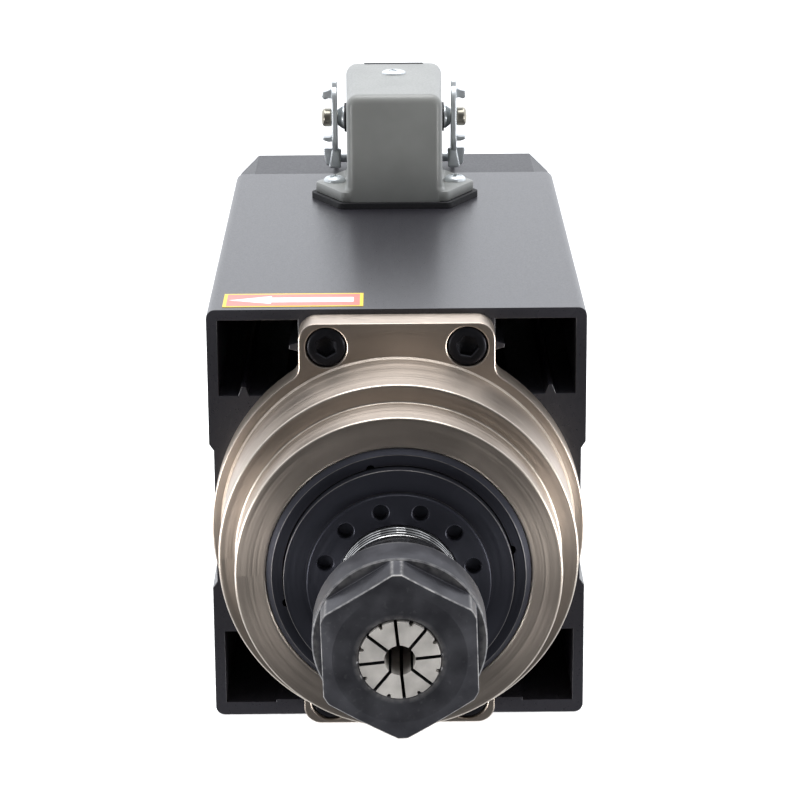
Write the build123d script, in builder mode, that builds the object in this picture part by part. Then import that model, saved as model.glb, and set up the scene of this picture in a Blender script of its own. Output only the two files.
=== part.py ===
"""Square air-cooled milling spindle with a collet chuck.

The spindle axis is the Y axis.  The origin is on that axis, in the plane of the collet's face,
where the tool shank goes in.  +Y runs back along the motor, +Z is up, and the flat underside of
the extruded body rests on the machine.  All sizes are millimetres.
"""
from build123d import *
from math import asin, cos, degrees, hypot, isclose, radians, sin, tan
import os

# ---------------------------------------------------------------- driving dimensions
# Fits
SLIP = 0.05            # radial gap of a running or sliding fit
EASE = 0.15            # radial gap of a screw in its clearance hole or a plug in its pocket

# Extruded body
BODY_WIDTH = 82.0
BODY_LENGTH = 137.0
BODY_EDGE_R = 2.0
SIDE_WALL = 2.4
TOP_WALL = 2.35
BOTTOM_WALL = 3.0
DUCT_WIDTH = 17.4
DUCT_HEIGHT = 16.9
DUCT_INNER_WALL = 2.4
FIN_HEIGHT = 2.0
FIN_BASE = 2.4
FIN_TIP = 0.8
FIN_INSET = 5.4
RECESS_DEPTH = 1.0
RECESS_HEIGHT = 31.7
STATOR_R = 34.5
CABLE_HOLE_R = 6.5
FOOT_HOLE_R = 2.1      # tapped M5
FOOT_HOLE_ACROSS = 49.0
FOOT_HOLE_ALONG = 100.0
FOOT_LAND = 6.0
FOOT_LAND_HEIGHT = 0.6

# Front bearing housing
BODY_FRONT = 85.6      # from the collet's face back to the body's front end
DISC_R = 40.2
EAR_WIDTH = 42.0
EAR_REACH = 5.45       # how far the ears stand out above and below the disc
EAR_INSET = 1.15       # from the ears' ends to the body's top and bottom
EAR_THICK = 8.0
EAR_CORNER_R = 3.8
EAR_ROOT_R = 3.5
RING_R = 37.9
RING_LENGTH = 19.7
NOSE_R = 34.0
NOSE_LENGTH = 10.5
NOSE_CHAMFER = 0.5
SPIGOT_LENGTH = 12.0
SHOULDER_THICK = 4.0
SPIGOT_WALL = 3.0
EAR_SCREW_X = 15.05
EAR_SCREW_INSET = 5.25

# M5 socket head cap screws
CAP_R = 4.25
CAP_HEIGHT = 5.0
CAP_SHANK_R = 2.5
CAP_KEY_AF = 4.0
CAP_KEY_DEPTH = 2.6
CAP_POCKET = 5.3
CAP_GRIP = 9.0         # thread length in the body

# Collet
COLLET_LENGTH = 31.5
COLLET_BORE_R = 3.0
COLLET_FACE_R = 7.85
COLLET_LAND = 1.0
COLLET_NECK_R = 9.65
COLLET_GROOVE_R = 9.0
COLLET_GROOVE = 1.8
COLLET_HEAD_R = 10.5
COLLET_TAPER = 8.0     # degrees to the axis
NUT_CONE = 30.0        # degrees to the axis
JAWS = 8
SLOT = 0.65
SLOT_TURN = 6.0
FRONT_SLOT = 26.0
REAR_SLOT_START = 5.0
RIM_NOTCH = 0.65

# Clamping nut
NUT_SET_BACK = 0.6     # the collet stands proud of the nut by this much
NUT_LENGTH = 19.5
NUT_R = 17.15
NUT_AF = 30.0
NUT_HEX = 9.0
NUT_TURN = 2.0
NUT_FLAT_R = 13.0
NUT_FACE_SLOPE = 12.0
NUT_REAR_CHAMFER = 0.8
NUT_THREAD_START = 7.5
NUT_RELIEF_R = 11.2
EJECTOR_R = 9.9
EJECTOR_OFFSET = 0.45
EJECTOR_THICK = 1.2

# Shaft
THREAD_R = 12.5        # M25 x 1.5
SHAFT_FACE = 8.0
SHAFT_CHAMFER = 1.0
SOCKET_SPARE = 3.0
SOCKET_HOLE_R = 5.25
SOCKET_HOLE = 16.0
FRONT_SEAT_R = 15.0
SHAFT_COLLAR_R = 18.5
SHAFT_COLLAR = 6.0
ROTOR_SEAT_R = 14.0
REAR_SHOULDER_R = 12.0
REAR_SEAT_R = 10.0
FAN_SHOULDER_R = 8.5
FAN_SEAT_R = 6.0

# Balance ring and bearing retainer
RING_PROUD = 4.0       # how far the balance ring's boss stands in front of the retainer
BOSS_STEP = 1.7
BALANCE_R = 23.8
BALANCE_THICK = 7.0
BALANCE_HUB_R = 17.6
BALANCE_HOLES = 12
BALANCE_TURN = 13.3        # degrees from the right to the first hole
BALANCE_HOLE_R = 1.65
BALANCE_HOLE_DEPTH = 4.5
BALANCE_LAND_IN = 1.55     # metal between the holes and the shaft
BALANCE_LAND_OUT = 1.65    # metal between the holes and the boss's rim
RETAINER_PROUD = 0.8
RETAINER_LENGTH = 8.4
RETAINER_CHAMFER = 1.1
LABYRINTH_GAP = 0.25
SPANNER_NOTCHES = 4
SPANNER_NOTCH_R = 0.8
SPANNER_TURN = 13.5

# Bearings
FRONT_BEARING_R = 27.5     # 30 x 55 x 13
FRONT_RACE_WIDTH = 13.0
FRONT_OUTER_LAND_R = 24.6
FRONT_INNER_LAND_R = 18.4
FRONT_BALL_R = 3.57
FRONT_SPACER = 5.0
REAR_BEARING_R = 21.0      # 20 x 42 x 12
REAR_RACE_WIDTH = 12.0
REAR_OUTER_LAND_R = 18.2
REAR_INNER_LAND_R = 13.2
REAR_BALL_R = 3.175
GROOVE_OVER_BALL = 0.08

# Motor
CORE_LENGTH = 70.0
CORE_GAP = 20.4        # from the front housing's spigot to the core
AIR_GAP = 0.4
ROTOR_R = 18.2
END_RING_WIDTH = 6.0
END_RING_WALL = 3.4
STATOR_SLOTS = 24
STATOR_SLOT_WIDTH = 3.2
STATOR_SLOT_DEPTH = 9.0
STATOR_TOOTH_TIP = 1.2
STATOR_SLOT_MOUTH = 1.8
LINER = 0.2
END_TURN = 13.0
END_TURN_GAP = 1.0
END_TURN_OUT_R = 30.0
END_TURN_IN_R = 20.2
END_TURN_BEVEL = 2.5

# Rear end shield
SHIELD_SPIGOT = 14.0
SHIELD_PLATE = 4.0
SHIELD_DISC_R = 36.5
SHIELD_EAR_INSET = 1.65
SHIELD_SHOULDER = 3.0
SHIELD_HOLE_R = 17.0
SHIELD_RIM = 3.0
SHIELD_HUB = 4.5
SPRING_HEIGHT = 2.0
SPRING_THICK = 0.7
SPRING_HOLE_R = 17.6

# Fan
FAN_WIDTH = 12.0
FAN_GAP = 2.4          # from the rear end shield to the fan
FAN_HUB_R = 10.0
FAN_TIP_R = 33.0
FAN_BLADES = 9
BLADE_THICK = 1.5
BLADE_CHORD = 14.0
BLADE_PITCH = 48.0     # degrees
BLADE_CAMBER = 1.1
WASHER_R = 7.5
WASHER_THICK = 1.0
FAN_SCREW_R = 2.5
FAN_SCREW_DEPTH = 14.0
FAN_SCREW_HEAD_R = 4.6
FAN_SCREW_HEAD = 2.2

# Fan cowl
COWL_LENGTH = 24.4
COWL_WALL = 2.4
COWL_CORNER = 4.9
COWL_EDGE = 1.2
POST_R = 5.4
GRILLE_RINGS = 5
GRILLE_SLOT = 3.6
GRILLE_BAR = 2.0
GRILLE_HUB_R = 8.0
GRILLE_SPOKES = 6
GRILLE_SPOKE = 2.4

# Connector on the top of the body
CONNECTOR_Y = 109.0        # its two screws, from the body's front end
GASKET_THICK = 1.5
GASKET_RIM = 1.0
FLANGE_THICK = 2.6
FLANGE_LENGTH = 26.0
FLANGE_END = 25.8          # width of the flange's front and rear edges
FLANGE_POINT = 39.6        # width across its two pointed ends
FLANGE_R = 1.0
CONNECTOR_SCREWS = 30.0
SCREW_BITE = 4.5           # how far those screws go into the body
CONNECTOR_SCREW_R = 1.5
PAN_R = 2.75
PAN_HEIGHT = 1.7
PAN_BEVEL = 0.9
HOOD_WIDTH = 23.4
HOOD_HEIGHT = 26.6         # from the gasket to the hood's top
HOOD_LENGTH = 44.6
HOOD_TOP_R = 2.9
HOOD_EDGE_R = 1.9
HOOD_LIFT = 1.4            # the overhanging mouth clears the gasket plane by this much
HOOD_WALL = 2.3
MOUTH_DEPTH = 40.0
MOUTH_R = 1.5
LEAD_HOLE_R = 5.5
INSERT_DEPTH = 12.0        # from the mouth to the insert's face
INSERT_LENGTH = 11.0
PINS = 4
PIN_R = 1.25
PIN_PROUD = 6.5
PIN_TAIL = 2.0
PIN_PITCH_R = 5.6
INSERT_SCREW_BACK = 14.5   # from the mouth
INSERT_SCREW_R = 1.6
INSERT_SCREW_HEAD_R = 3.05
INSERT_SCREW_HEAD = 0.9
INSERT_SCREW_BEVEL = 0.4
INSERT_SCREW_BITE = 4.0

# Locking lever
LEVER_BACK = 11.0          # pivot, from the mouth
LEVER_HEIGHT = 16.2        # pivot, above the body's top face
LEVER_INSIDE = 14.5        # from the middle to the inside of each plate
LEVER_SHEET = 1.4
LEVER_REACH = 20.0
LEVER_PARK = 0.3           # the parked arms' gap above the cowl
BAR_R = 1.5
ROCKER_HALF = 8.8
ROCKER_WIDTH = 8.0
ARM_WIDTH = 5.0
LUG_REACH = 2.3
LUG_THICK = 1.5
LUG_LENGTH = 3.2
LUG_UP = 5.7
HOOK_DOWN = 5.2
FOOT_TAB_HEIGHT = 4.4
FOOT_TAB_BASE = 3.3
FOOT_TAB_SLOPE = 80.0     # degrees
FOOT_TAB_LENGTH = 2.2
PEG_R = 1.6
PEG_HEAD_R = 2.4
PEG_HEAD = 2.6
PEG_ROOT = 1.5
BUSH_R = 2.25
PEG_WASHER_R = 3.7
PEG_WASHER = 1.0
SIDE_PLAY = 0.1

# ---------------------------------------------------------------- stations worked out from them
EAR_TOP = DISC_R + EAR_REACH
EAR_SCREW_Z = EAR_TOP - EAR_SCREW_INSET
TOP = EAR_TOP + EAR_INSET
BODY_HEIGHT = 2 * TOP
BODY_REAR = BODY_FRONT + BODY_LENGTH
EAR_FACE = BODY_FRONT - EAR_THICK
RING_FRONT = EAR_FACE - RING_LENGTH
NOSE_FRONT = RING_FRONT - NOSE_LENGTH
SPIGOT_END = BODY_FRONT + SPIGOT_LENGTH

BALANCE_PITCH_R = THREAD_R + BALANCE_LAND_IN + BALANCE_HOLE_R
BOSS_R = BALANCE_PITCH_R + BALANCE_HOLE_R + BALANCE_LAND_OUT
RETAINER_FACE = NOSE_FRONT - RETAINER_PROUD
RETAINER_END = RETAINER_FACE + RETAINER_LENGTH
RING_FACE = RETAINER_FACE - RING_PROUD
BALANCE_FACE = RING_FACE + BOSS_STEP
BALANCE_BACK = BALANCE_FACE + BALANCE_THICK
FIRST_BEARING = RETAINER_END
FIRST_BEARING_END = FIRST_BEARING + FRONT_RACE_WIDTH
SECOND_BEARING = FIRST_BEARING_END + FRONT_SPACER
SECOND_BEARING_END = SECOND_BEARING + FRONT_RACE_WIDTH

CORE_START = SPIGOT_END + CORE_GAP
CORE_END = CORE_START + CORE_LENGTH
SHIELD_FRONT = BODY_REAR - SHIELD_SPIGOT
REAR_BEARING_END = BODY_REAR + SHIELD_PLATE - SHIELD_SHOULDER - SPRING_HEIGHT
REAR_BEARING = REAR_BEARING_END - REAR_RACE_WIDTH
SHIELD_BACK = BODY_REAR + SHIELD_PLATE
FAN_START = SHIELD_BACK + FAN_GAP
FAN_END = FAN_START + FAN_WIDTH
COWL_END = BODY_REAR + COWL_LENGTH

NUT_FACE = NUT_SET_BACK
NUT_REAR = NUT_FACE + NUT_LENGTH
NECK_END = COLLET_LAND + (COLLET_NECK_R - COLLET_FACE_R) / tan(radians(NUT_CONE))
HEAD_START = NECK_END + COLLET_GROOVE

FLANGE_Y = BODY_FRONT + CONNECTOR_Y
GASKET_TOP = TOP + GASKET_THICK
FLANGE_TOP = GASKET_TOP + FLANGE_THICK
HOOD_TOP = GASKET_TOP + HOOD_HEIGHT
HOOD_Y = FLANGE_Y - FLANGE_LENGTH / 2
MOUTH_Y = HOOD_Y + HOOD_LENGTH
HOOD_BOTTOM = GASKET_TOP + HOOD_LIFT
PIVOT_Y = MOUTH_Y - LEVER_BACK
PIVOT_Z = TOP + LEVER_HEIGHT
LEVER_REST = -degrees(asin((LEVER_HEIGHT - ARM_WIDTH / 2 - LEVER_PARK) / LEVER_REACH))


# ---------------------------------------------------------------- helpers
def cross(y):
    """A plane across the spindle axis at station y, facing the front: its Y is up."""
    return Plane(origin=(0, y, 0), x_dir=(1, 0, 0), z_dir=(0, -1, 0))


def cross_back(y):
    """The same plane facing the rear."""
    return Plane(origin=(0, y, 0), x_dir=(-1, 0, 0), z_dir=(0, 1, 0))


def level(z):
    """A level plane at height z."""
    return Plane.XY.offset(z)


def upright(x, y, z):
    """A plane along the spindle axis, through a point, facing +X: its X runs back and its Y up."""
    return Plane(origin=(x, y, z), x_dir=(0, 1, 0), z_dir=(1, 0, 0))


def save(piece, name):
    """Label a finished piece and write it as its own STEP file."""
    piece.label = name
    export_step(piece, f"parts/{name}.step")


def turned(*profiles):
    """Turned pieces: each closed outline of (station, radius) points is spun about the axis."""
    with BuildPart() as piece:
        for profile in profiles:
            with BuildSketch(Plane.YZ):
                with BuildLine():
                    Polyline(*profile, close=True)
                make_face()
            revolve(axis=Axis.Y)
    return piece.part


def ring(start, end, inner, outer):
    """The outline of a plain ring between two stations."""
    return [(start, inner), (start, outer), (end, outer), (end, inner)]


def collet_taper(y):
    """Radius of the collet's long cone at station y."""
    return COLLET_HEAD_R - (y - HEAD_START) * tan(radians(COLLET_TAPER))


# ---------------------------------------------------------------- extruded body
def duct_outline(sx, top):
    """One corner air duct: a rectangle cut round by the motor bore's wall, with its fins or foot."""
    outer_x = BODY_WIDTH / 2 - SIDE_WALL
    outer_z = TOP - (TOP_WALL if top else BOTTOM_WALL)
    sz = 1 if top else -1
    with BuildSketch(cross(BODY_REAR)) as duct:
        with Locations((sx * (outer_x - DUCT_WIDTH / 2), sz * (outer_z - DUCT_HEIGHT / 2))):
            Rectangle(DUCT_WIDTH, DUCT_HEIGHT)
        Circle(STATOR_R + DUCT_INNER_WALL, mode=Mode.SUBTRACT)
        if top:
            floor_x = sx * (outer_x - FIN_INSET)
            floor_z = outer_z - DUCT_HEIGHT
            side_x = sx * (outer_x - DUCT_WIDTH)
            side_z = outer_z - FIN_INSET - FIN_TIP
            with BuildLine():
                Polyline(
                    (floor_x - FIN_BASE / 2, floor_z),
                    (floor_x - FIN_TIP / 2, floor_z + FIN_HEIGHT),
                    (floor_x + FIN_TIP / 2, floor_z + FIN_HEIGHT),
                    (floor_x + FIN_BASE / 2, floor_z),
                    close=True,
                )
            make_face(mode=Mode.SUBTRACT)
            with BuildLine():
                Polyline(
                    (side_x, side_z - FIN_BASE / 2),
                    (side_x + sx * FIN_HEIGHT, side_z - FIN_TIP / 2),
                    (side_x + sx * FIN_HEIGHT, side_z + FIN_TIP / 2),
                    (side_x, side_z + FIN_BASE / 2),
                    close=True,
                )
            make_face(mode=Mode.SUBTRACT)
        else:
            with Locations((sx * FOOT_HOLE_ACROSS / 2, -outer_z)):
                Rectangle(FOOT_LAND, 2 * FOOT_LAND_HEIGHT, mode=Mode.SUBTRACT)
    return duct.sketch


def make_body():
    """The aluminium extrusion: four corner ducts, the motor bore and the shallow side recesses."""
    hole_depth = CAP_GRIP + 2 * EASE
    underside = Plane(origin=(0, (BODY_FRONT + BODY_REAR) / 2, -TOP), x_dir=(1, 0, 0), z_dir=(0, 0, -1))
    with BuildPart() as body:
        with BuildSketch(cross(BODY_REAR)):
            RectangleRounded(BODY_WIDTH, BODY_HEIGHT, BODY_EDGE_R)
            Circle(STATOR_R, mode=Mode.SUBTRACT)
            with Locations((-BODY_WIDTH / 2, 0), (BODY_WIDTH / 2, 0)):
                Rectangle(2 * RECESS_DEPTH, RECESS_HEIGHT, mode=Mode.SUBTRACT)
        extrude(amount=BODY_LENGTH)
        for sx in (-1, 1):
            for top in (True, False):
                extrude(duct_outline(sx, top), amount=BODY_LENGTH, mode=Mode.SUBTRACT)
        for end in (cross(BODY_FRONT), cross_back(BODY_REAR)):
            with Locations(end):
                with GridLocations(2 * EAR_SCREW_X, 2 * EAR_SCREW_Z, 2, 2):
                    Hole(CAP_SHANK_R, depth=hole_depth)
        with Locations(underside):
            with GridLocations(FOOT_HOLE_ACROSS, FOOT_HOLE_ALONG, 2, 2):
                Hole(FOOT_HOLE_R, depth=BOTTOM_WALL + FOOT_LAND_HEIGHT + EASE)
        with Locations((0, FLANGE_Y, TOP)):
            Hole(CABLE_HOLE_R, depth=TOP - STATOR_R / 2)
            with GridLocations(CONNECTOR_SCREWS, 0, 2, 1):
                Hole(CONNECTOR_SCREW_R, depth=SCREW_BITE + EASE)
    return body.part


# ---------------------------------------------------------------- front bearing housing
def eared_outline(y, height, disc_r):
    """Ears above and below a disc: a rounded upright bar and a circle, with filled inner corners."""
    with BuildSketch(cross(y)) as outline:
        RectangleRounded(EAR_WIDTH, height, EAR_CORNER_R)
        Circle(disc_r)
        roots = [v for v in outline.vertices() if isclose(hypot(v.X, v.Y), disc_r, rel_tol=1e-6)]
        fillet(roots, EAR_ROOT_R)
    return outline.sketch


def make_front_housing():
    """The turned bearing housing: eared plate, two steps, the bearing bore and the rear spigot."""
    c = NOSE_CHAMFER
    spigot_r = STATOR_R - SLIP
    with BuildPart() as housing:
        plate = eared_outline(BODY_FRONT, 2 * EAR_TOP, DISC_R)
        extrude(plate, amount=EAR_THICK)
        chamfer(housing.faces().sort_by(Axis.Y)[0].edges(), c)
        with BuildSketch(Plane.YZ):
            with BuildLine():
                Polyline(
                    (NOSE_FRONT, 0),
                    (NOSE_FRONT, NOSE_R - c),
                    (NOSE_FRONT + c, NOSE_R),
                    (RING_FRONT, NOSE_R),
                    (RING_FRONT, RING_R - c),
                    (RING_FRONT + c, RING_R),
                    (BODY_FRONT - c, RING_R),
                    (BODY_FRONT - c, spigot_r),
                    (SPIGOT_END - c, spigot_r),
                    (SPIGOT_END, spigot_r - c),
                    (SPIGOT_END, 0),
                    close=True,
                )
            make_face()
        revolve(axis=Axis.Y)
        with BuildSketch(Plane.YZ):
            with BuildLine():
                Polyline(
                    (NOSE_FRONT, 0),
                    (NOSE_FRONT, FRONT_BEARING_R),
                    (SECOND_BEARING_END, FRONT_BEARING_R),
                    (SECOND_BEARING_END, FRONT_OUTER_LAND_R),
                    (SECOND_BEARING_END + SHOULDER_THICK, FRONT_OUTER_LAND_R),
                    (SECOND_BEARING_END + SHOULDER_THICK, spigot_r - SPIGOT_WALL),
                    (SPIGOT_END, spigot_r - SPIGOT_WALL),
                    (SPIGOT_END, 0),
                    close=True,
                )
            make_face()
        revolve(axis=Axis.Y, mode=Mode.SUBTRACT)
        with Locations(cross(EAR_FACE)):
            with GridLocations(2 * EAR_SCREW_X, 2 * EAR_SCREW_Z, 2, 2):
                CounterBoreHole(CAP_SHANK_R + EASE, CAP_R + EASE, CAP_POCKET, depth=EAR_THICK)
    return housing.part


def cap_screws(head_face, shank_end):
    """Four socket head cap screws at the ears' corners, from head face to shank end."""
    inward = 1 if shank_end > head_face else -1
    facing = cross if shank_end > head_face else cross_back
    underside = head_face + inward * CAP_HEIGHT
    with BuildPart() as screws:
        with BuildSketch(facing(underside)):
            with GridLocations(2 * EAR_SCREW_X, 2 * EAR_SCREW_Z, 2, 2):
                Circle(CAP_R)
        extrude(amount=CAP_HEIGHT)
        with BuildSketch(facing(shank_end)):
            with GridLocations(2 * EAR_SCREW_X, 2 * EAR_SCREW_Z, 2, 2):
                Circle(CAP_SHANK_R)
        extrude(amount=abs(shank_end - underside))
        with BuildSketch(facing(head_face + inward * CAP_KEY_DEPTH)):
            with GridLocations(2 * EAR_SCREW_X, 2 * EAR_SCREW_Z, 2, 2):
                RegularPolygon(CAP_KEY_AF / 2, 6, major_radius=False)
        extrude(amount=CAP_KEY_DEPTH, mode=Mode.SUBTRACT)
    return screws.part


def make_retainer():
    """The threaded ring that holds the front bearings, with spanner notches in its inner rim."""
    inner = BALANCE_R + LABYRINTH_GAP
    outer = FRONT_BEARING_R
    c = RETAINER_CHAMFER
    with BuildPart() as retainer:
        with BuildSketch(Plane.YZ):
            with BuildLine():
                Polyline(
                    (RETAINER_FACE, inner),
                    (RETAINER_FACE, outer - c),
                    (RETAINER_FACE + c, outer),
                    (RETAINER_END, outer),
                    (RETAINER_END, inner),
                    close=True,
                )
            make_face()
        revolve(axis=Axis.Y)
        with Locations(cross(RETAINER_FACE)):
            with PolarLocations(inner, SPANNER_NOTCHES, start_angle=SPANNER_TURN):
                Hole(SPANNER_NOTCH_R, depth=RETAINER_LENGTH / 2)
    return retainer.part


# ---------------------------------------------------------------- bearings
def race(start, width, inner, outer, pitch_r, ball_r):
    """One bearing ring with its raceway turned in, as three flats round where the balls would run."""
    with BuildPart() as piece:
        with BuildSketch(Plane.YZ):
            with Locations((start + width / 2, (inner + outer) / 2)):
                Rectangle(width, outer - inner)
            with Locations((start + width / 2, pitch_r)):
                groove_r = ball_r + GROOVE_OVER_BALL
                RegularPolygon(groove_r, 8, major_radius=False, rotation=22.5, mode=Mode.SUBTRACT)
        revolve(axis=Axis.Y)
    return piece.part


# ---------------------------------------------------------------- collet and clamping nut
def make_collet():
    """The spring collet: front cone, ejector groove, long cone, and slots cut from both ends."""
    with BuildPart() as collet:
        with BuildSketch(Plane.YZ):
            with BuildLine():
                Polyline(
                    (0, COLLET_BORE_R),
                    (0, COLLET_FACE_R),
                    (COLLET_LAND, COLLET_FACE_R),
                    (NECK_END, COLLET_NECK_R),
                    (NECK_END, COLLET_GROOVE_R),
                    (HEAD_START, COLLET_GROOVE_R),
                    (HEAD_START, COLLET_HEAD_R),
                    (COLLET_LENGTH, collet_taper(COLLET_LENGTH)),
                    (COLLET_LENGTH, COLLET_BORE_R),
                    close=True,
                )
            make_face()
        revolve(axis=Axis.Y)
        half_turn = 180 / JAWS
        reach = COLLET_HEAD_R + SLOT
        with BuildSketch(cross(FRONT_SLOT)):
            with PolarLocations(reach / 2, JAWS, start_angle=90):
                Rectangle(reach, SLOT)
        extrude(amount=FRONT_SLOT, mode=Mode.SUBTRACT)
        with BuildSketch(cross(COLLET_LENGTH)):
            with PolarLocations(reach / 2, JAWS, start_angle=90 + half_turn):
                Rectangle(reach, SLOT)
        extrude(amount=COLLET_LENGTH - REAR_SLOT_START, mode=Mode.SUBTRACT)
        with BuildSketch(cross(REAR_SLOT_START)):
            with PolarLocations(COLLET_NECK_R, JAWS, start_angle=90 + half_turn):
                Rectangle(2 * (COLLET_NECK_R - COLLET_FACE_R + RIM_NOTCH), SLOT)
        extrude(amount=REAR_SLOT_START, mode=Mode.SUBTRACT)
    return collet.part.rotate(Axis.Y, -SLOT_TURN)


def make_nut():
    """The clamping nut: round collar, hexagon with a coned face, and the eccentric ejector lip."""
    cone_shift = SLIP / cos(radians(NUT_CONE))
    mouth_r = COLLET_FACE_R + EASE
    cone = tan(radians(NUT_CONE))
    mouth_end = COLLET_LAND + (mouth_r - COLLET_FACE_R - cone_shift) / cone
    lip_start = NECK_END
    lip_r = COLLET_FACE_R + cone_shift + (lip_start - COLLET_LAND) * cone
    lip_end = lip_start + EJECTOR_THICK
    thread_r = THREAD_R + SLIP
    face_drop = (NUT_R - NUT_FLAT_R) * tan(radians(NUT_FACE_SLOPE))
    low_lip_r = EJECTOR_R - EJECTOR_OFFSET
    with BuildPart() as nut:
        with BuildSketch(Plane.YZ):
            with BuildLine():
                Polyline(
                    (NUT_FACE, mouth_r),
                    (NUT_FACE, NUT_FLAT_R),
                    (NUT_FACE + face_drop, NUT_R),
                    (NUT_REAR - NUT_REAR_CHAMFER, NUT_R),
                    (NUT_REAR, NUT_R - NUT_REAR_CHAMFER),
                    (NUT_REAR, thread_r),
                    (NUT_THREAD_START, thread_r),
                    (NUT_THREAD_START, NUT_RELIEF_R),
                    (lip_end, NUT_RELIEF_R),
                    (lip_end, low_lip_r),
                    (lip_start, low_lip_r),
                    (lip_start, lip_r),
                    (mouth_end, mouth_r),
                    close=True,
                )
            make_face()
        revolve(axis=Axis.Y)
        with BuildSketch(cross(NUT_FACE + NUT_HEX)):
            Circle(NUT_R + NUT_HEX)
            RegularPolygon(NUT_AF / 2, 6, major_radius=False, rotation=30 + NUT_TURN, mode=Mode.SUBTRACT)
        extrude(amount=NUT_HEX + NUT_SET_BACK, mode=Mode.SUBTRACT)
        with BuildSketch(cross(lip_end)):
            with Locations((EJECTOR_OFFSET, 0)):
                Circle(EJECTOR_R)
        extrude(amount=EJECTOR_THICK, mode=Mode.SUBTRACT)
    return nut.part


# ---------------------------------------------------------------- shaft and what turns with it
def make_shaft():
    """The shaft: collet socket, nut thread, bearing seats, rotor seat and fan seat."""
    socket_end = COLLET_LENGTH + SOCKET_SPARE
    wall_gap = SLIP / cos(radians(COLLET_TAPER))
    mouth_r = collet_taper(SHAFT_FACE) + wall_gap
    end_r = collet_taper(socket_end) + wall_gap
    hole_end = socket_end + SOCKET_HOLE
    tip = FAN_END - WASHER_THICK / 2
    outline = [
        (SHAFT_FACE, mouth_r),
        (SHAFT_FACE, THREAD_R - SHAFT_CHAMFER),
        (SHAFT_FACE + SHAFT_CHAMFER, THREAD_R),
        (BALANCE_FACE, THREAD_R),
        (BALANCE_FACE, FRONT_SEAT_R),
        (SECOND_BEARING_END, FRONT_SEAT_R),
        (SECOND_BEARING_END, SHAFT_COLLAR_R),
        (SECOND_BEARING_END + SHAFT_COLLAR, SHAFT_COLLAR_R),
        (SECOND_BEARING_END + SHAFT_COLLAR, ROTOR_SEAT_R),
        (CORE_END + END_RING_WIDTH, ROTOR_SEAT_R),
        (CORE_END + END_RING_WIDTH, REAR_SHOULDER_R),
        (REAR_BEARING, REAR_SHOULDER_R),
        (REAR_BEARING, REAR_SEAT_R),
        (REAR_BEARING_END, REAR_SEAT_R),
        (REAR_BEARING_END, FAN_SHOULDER_R),
        (FAN_START, FAN_SHOULDER_R),
        (FAN_START, FAN_SEAT_R),
        (tip, FAN_SEAT_R),
        (tip, FAN_SCREW_R),
        (FAN_END - FAN_SCREW_DEPTH, FAN_SCREW_R),
        (FAN_END - FAN_SCREW_DEPTH, 0),
        (hole_end + SOCKET_HOLE_R / 2, 0),
        (hole_end, SOCKET_HOLE_R),
        (socket_end, SOCKET_HOLE_R),
        (socket_end, end_r),
    ]
    return turned(outline)


def make_balance_ring():
    """The ring in front of the bearings: a stepped boss with a circle of balancing holes."""
    outline = [
        (RING_FACE, THREAD_R),
        (RING_FACE, BOSS_R),
        (BALANCE_FACE, BOSS_R),
        (BALANCE_FACE, BALANCE_R),
        (BALANCE_BACK, BALANCE_R),
        (BALANCE_BACK, BALANCE_HUB_R),
        (FIRST_BEARING, BALANCE_HUB_R),
        (FIRST_BEARING, FRONT_SEAT_R),
        (BALANCE_FACE, FRONT_SEAT_R),
        (BALANCE_FACE, THREAD_R),
    ]
    with BuildPart() as balance:
        add(turned(outline))
        with Locations(cross(RING_FACE)):
            with PolarLocations(BALANCE_PITCH_R, BALANCE_HOLES, start_angle=BALANCE_TURN):
                Hole(BALANCE_HOLE_R, depth=BALANCE_HOLE_DEPTH)
    return balance.part


def make_rotor_end_rings():
    """The cast rings that join the rotor bars at both ends of the core."""
    inner = ROTOR_R - END_RING_WALL
    outer = ROTOR_R - AIR_GAP
    front = ring(CORE_START - END_RING_WIDTH, CORE_START, inner, outer)
    rear = ring(CORE_END, CORE_END + END_RING_WIDTH, inner, outer)
    return turned(front, rear)


# ---------------------------------------------------------------- stator
def make_stator_core():
    """The laminated core, pressed into the extrusion, with its winding slots."""
    bore = ROTOR_R + AIR_GAP
    root = bore + STATOR_TOOTH_TIP
    slot_end = root + STATOR_SLOT_DEPTH
    with BuildPart() as core:
        with BuildSketch(cross(CORE_END)):
            Circle(STATOR_R)
            Circle(bore, mode=Mode.SUBTRACT)
            with PolarLocations((root + slot_end) / 2, STATOR_SLOTS):
                Rectangle(STATOR_SLOT_DEPTH, STATOR_SLOT_WIDTH, mode=Mode.SUBTRACT)
            with PolarLocations(bore, STATOR_SLOTS):
                Rectangle(3 * STATOR_TOOTH_TIP, STATOR_SLOT_MOUTH, mode=Mode.SUBTRACT)
        extrude(amount=CORE_LENGTH)
    return core.part


def make_windings():
    """The coils: straight sides in the slots and a bevelled ring of end turns at each end."""
    root = ROTOR_R + AIR_GAP + STATOR_TOOTH_TIP
    slot_end = root + STATOR_SLOT_DEPTH
    front_end = CORE_START - END_TURN_GAP
    rear_end = CORE_END + END_TURN_GAP
    with BuildPart() as coils:
        with BuildSketch(cross(rear_end)):
            with PolarLocations((root + slot_end) / 2, STATOR_SLOTS):
                Rectangle(STATOR_SLOT_DEPTH - 2 * LINER, STATOR_SLOT_WIDTH - 2 * LINER)
        extrude(amount=rear_end - front_end)
        with BuildSketch(cross(front_end), cross_back(rear_end)):
            Circle(END_TURN_OUT_R)
            Circle(END_TURN_IN_R, mode=Mode.SUBTRACT)
        extrude(amount=END_TURN)
        ends = coils.edges().filter_by(GeomType.CIRCLE).group_by(Axis.Y)
        chamfer(ends[0] + ends[-1], END_TURN_BEVEL)
    return coils.part


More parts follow.
